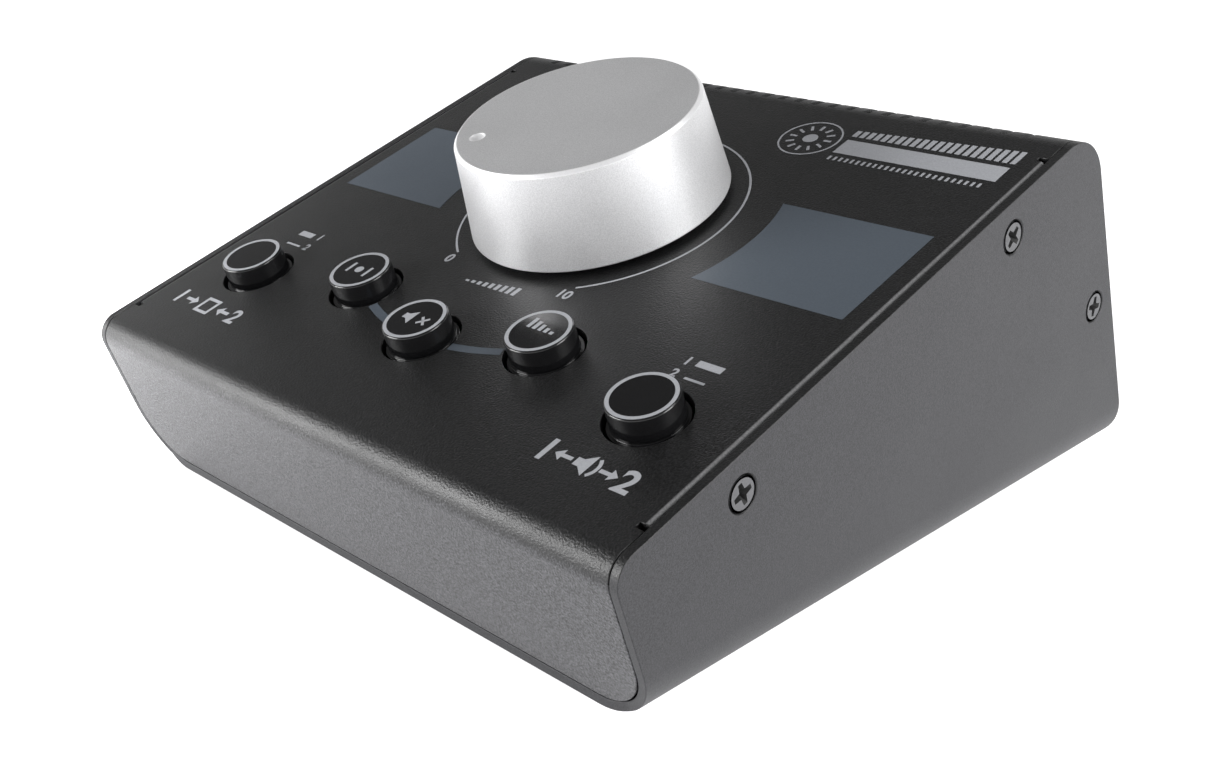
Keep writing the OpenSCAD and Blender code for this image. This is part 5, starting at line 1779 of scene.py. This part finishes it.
class CONTROLLER_OT_stage(bpy.types.Operator):
    """Lays the floor and sets the lights and the camera"""

    bl_idname = "controller.stage"
    bl_label = "Stage"

    def execute(self, context):
        self.lay_floor(context)
        self.set_lights(context)
        self.set_camera(context)
        return {"FINISHED"}

    @staticmethod
    def lay_floor(context):
        stage = context.scene.controller_stage
        bm, mesh = bmesh.new(), bpy.data.meshes.new("floor")
        bmesh.ops.create_grid(bm, x_segments=8, y_segments=8, size=3.0)
        bm.to_mesh(mesh)
        bm.free()
        floor = bpy.data.objects.new("floor", mesh)
        context.scene.collection.objects.link(floor)
        m = Surface(
            "floor_paper", Emission_Strength=stage.glow / stage.floor[0], Roughness=0.75,
            Specular_IOR_Level=0.2,
        )
        g = m.group(grain, Size=1.2 * MM)
        tint = m.mix(m.between(g["Tone"], 0.0, 1.0), *tones(stage.floor, 0.99, 1.01))
        for key in ("Base Color", "Emission Color"):
            m.put(tint, m.shader[key])
        mesh.materials.append(m.material)

    @staticmethod
    def set_lights(context):
        stage, world = context.scene.controller_stage, bpy.data.worlds.new("studio")
        context.scene.world = world
        world.use_nodes = True
        n, sky = Nodes(world.node_tree), world.node_tree.nodes["Background"].inputs
        up = n("ShaderNodeSeparateXYZ", {0: n("ShaderNodeTexCoord", out="Generated")}, "Z")
        values = (stage.sky_low, stage.sky_high, 0.10, 0.62)
        n.put(n.between(up, *values, interpolation_type="SMOOTHSTEP"), sky["Strength"])
        sky["Color"].default_value = (1, 1, 1, 1)
        middle, beside = (0, 0, 0.03), (-0.22, -0.13, 0)
        for name, watts, spot, aim, width, height, spread in (
            ("key", stage.key, (-0.57, -0.73, 0.26), middle, 0.55, 0.34, 180),
            ("side", stage.side, (0.93, 0.20, 0.36), middle, 0.5, 0.5, 180),
            ("rim", stage.rim, (0.60, 0.24, 0.78), middle, 0.4, 0.4, 180),
            ("fill", stage.fill, (-0.26, -0.15, 0.4), beside, 0.18, 0.18, 40),
        ):
            lamp = bpy.data.lights.new(name, "AREA")
            lamp.shape, lamp.size, lamp.size_y, lamp.energy = "RECTANGLE", width, height, watts
            lamp.spread = math.radians(spread)
            holder = bpy.data.objects.new(name, lamp)
            context.scene.collection.objects.link(holder)
            holder.location = spot
            turn = (Vector(aim) - Vector(spot)).to_track_quat("-Z", "Y")
            holder.rotation_euler = turn.to_euler()

    @staticmethod
    def set_camera(context):
        """The photograph's view: its frame is 1220 pixels wide."""
        lens = bpy.data.cameras.new("camera")
        lens.sensor_fit, lens.sensor_width = "HORIZONTAL", 36.0
        lens.lens = 36.0 * 1419.25 / 1220
        lens.clip_start, lens.clip_end = 0.01, 20.0
        camera = bpy.data.objects.new("camera", lens)
        context.scene.collection.objects.link(camera)
        yaw, pitch, roll = math.radians(-44.79), math.radians(21.60), math.radians(-0.27)
        forward = Vector((
            math.sin(yaw) * math.cos(pitch), math.cos(yaw) * math.cos(pitch), -math.sin(pitch)
        ))
        flat_right = Vector((math.cos(yaw), -math.sin(yaw), 0))
        flat_up = flat_right.cross(forward)
        right = flat_right * math.cos(roll) + flat_up * math.sin(roll)
        up = flat_up * math.cos(roll) - flat_right * math.sin(roll)
        camera.matrix_world = frame_matrix(right, up, -forward, (0.18262, -0.188363, 0.12202))
        context.scene.camera = camera
        context.scene.view_settings.view_transform = "Standard"


# ---- the add-on ----------------------------------------------------------------------------

STEPS = (
    CONTROLLER_OT_stage, CONTROLLER_OT_cover, CONTROLLER_OT_tray, CONTROLLER_OT_screws,
    CONTROLLER_OT_feet, CONTROLLER_OT_knob, CONTROLLER_OT_buttons, CONTROLLER_OT_springs,
    CONTROLLER_OT_prints, CONTROLLER_OT_jacks, CONTROLLER_OT_inside,
)


class CONTROLLER_PT_sidebar(bpy.types.Panel):
    """Lists the settings and the steps of the build"""

    bl_idname = "CONTROLLER_PT_sidebar"
    bl_label = "Monitor Controller"
    bl_space_type = "VIEW_3D"
    bl_region_type = "UI"
    bl_category = "Controller"

    def draw(self, context):
        for step in STEPS:
            self.layout.operator(step.bl_idname)
        for name, group in GROUPS.items():
            box = self.layout.box()
            box.label(text=name.split("_")[1].capitalize())
            settings = getattr(context.scene, name)
            for key in group.__annotations__:
                box.prop(settings, key)


CLASSES = (*GROUPS.values(), *STEPS, CONTROLLER_PT_sidebar)


def register():
    for cls in CLASSES:
        bpy.utils.register_class(cls)
    for name, group in GROUPS.items():
        setattr(bpy.types.Scene, name, PointerProperty(type=group))


def unregister():
    for name in GROUPS:
        delattr(bpy.types.Scene, name)
    for cls in reversed(CLASSES):
        bpy.utils.unregister_class(cls)


def main():
    register()
    for step in STEPS:
        getattr(bpy.ops.controller, step.bl_idname.split(".")[1])()


if __name__ == "__main__":
    main()
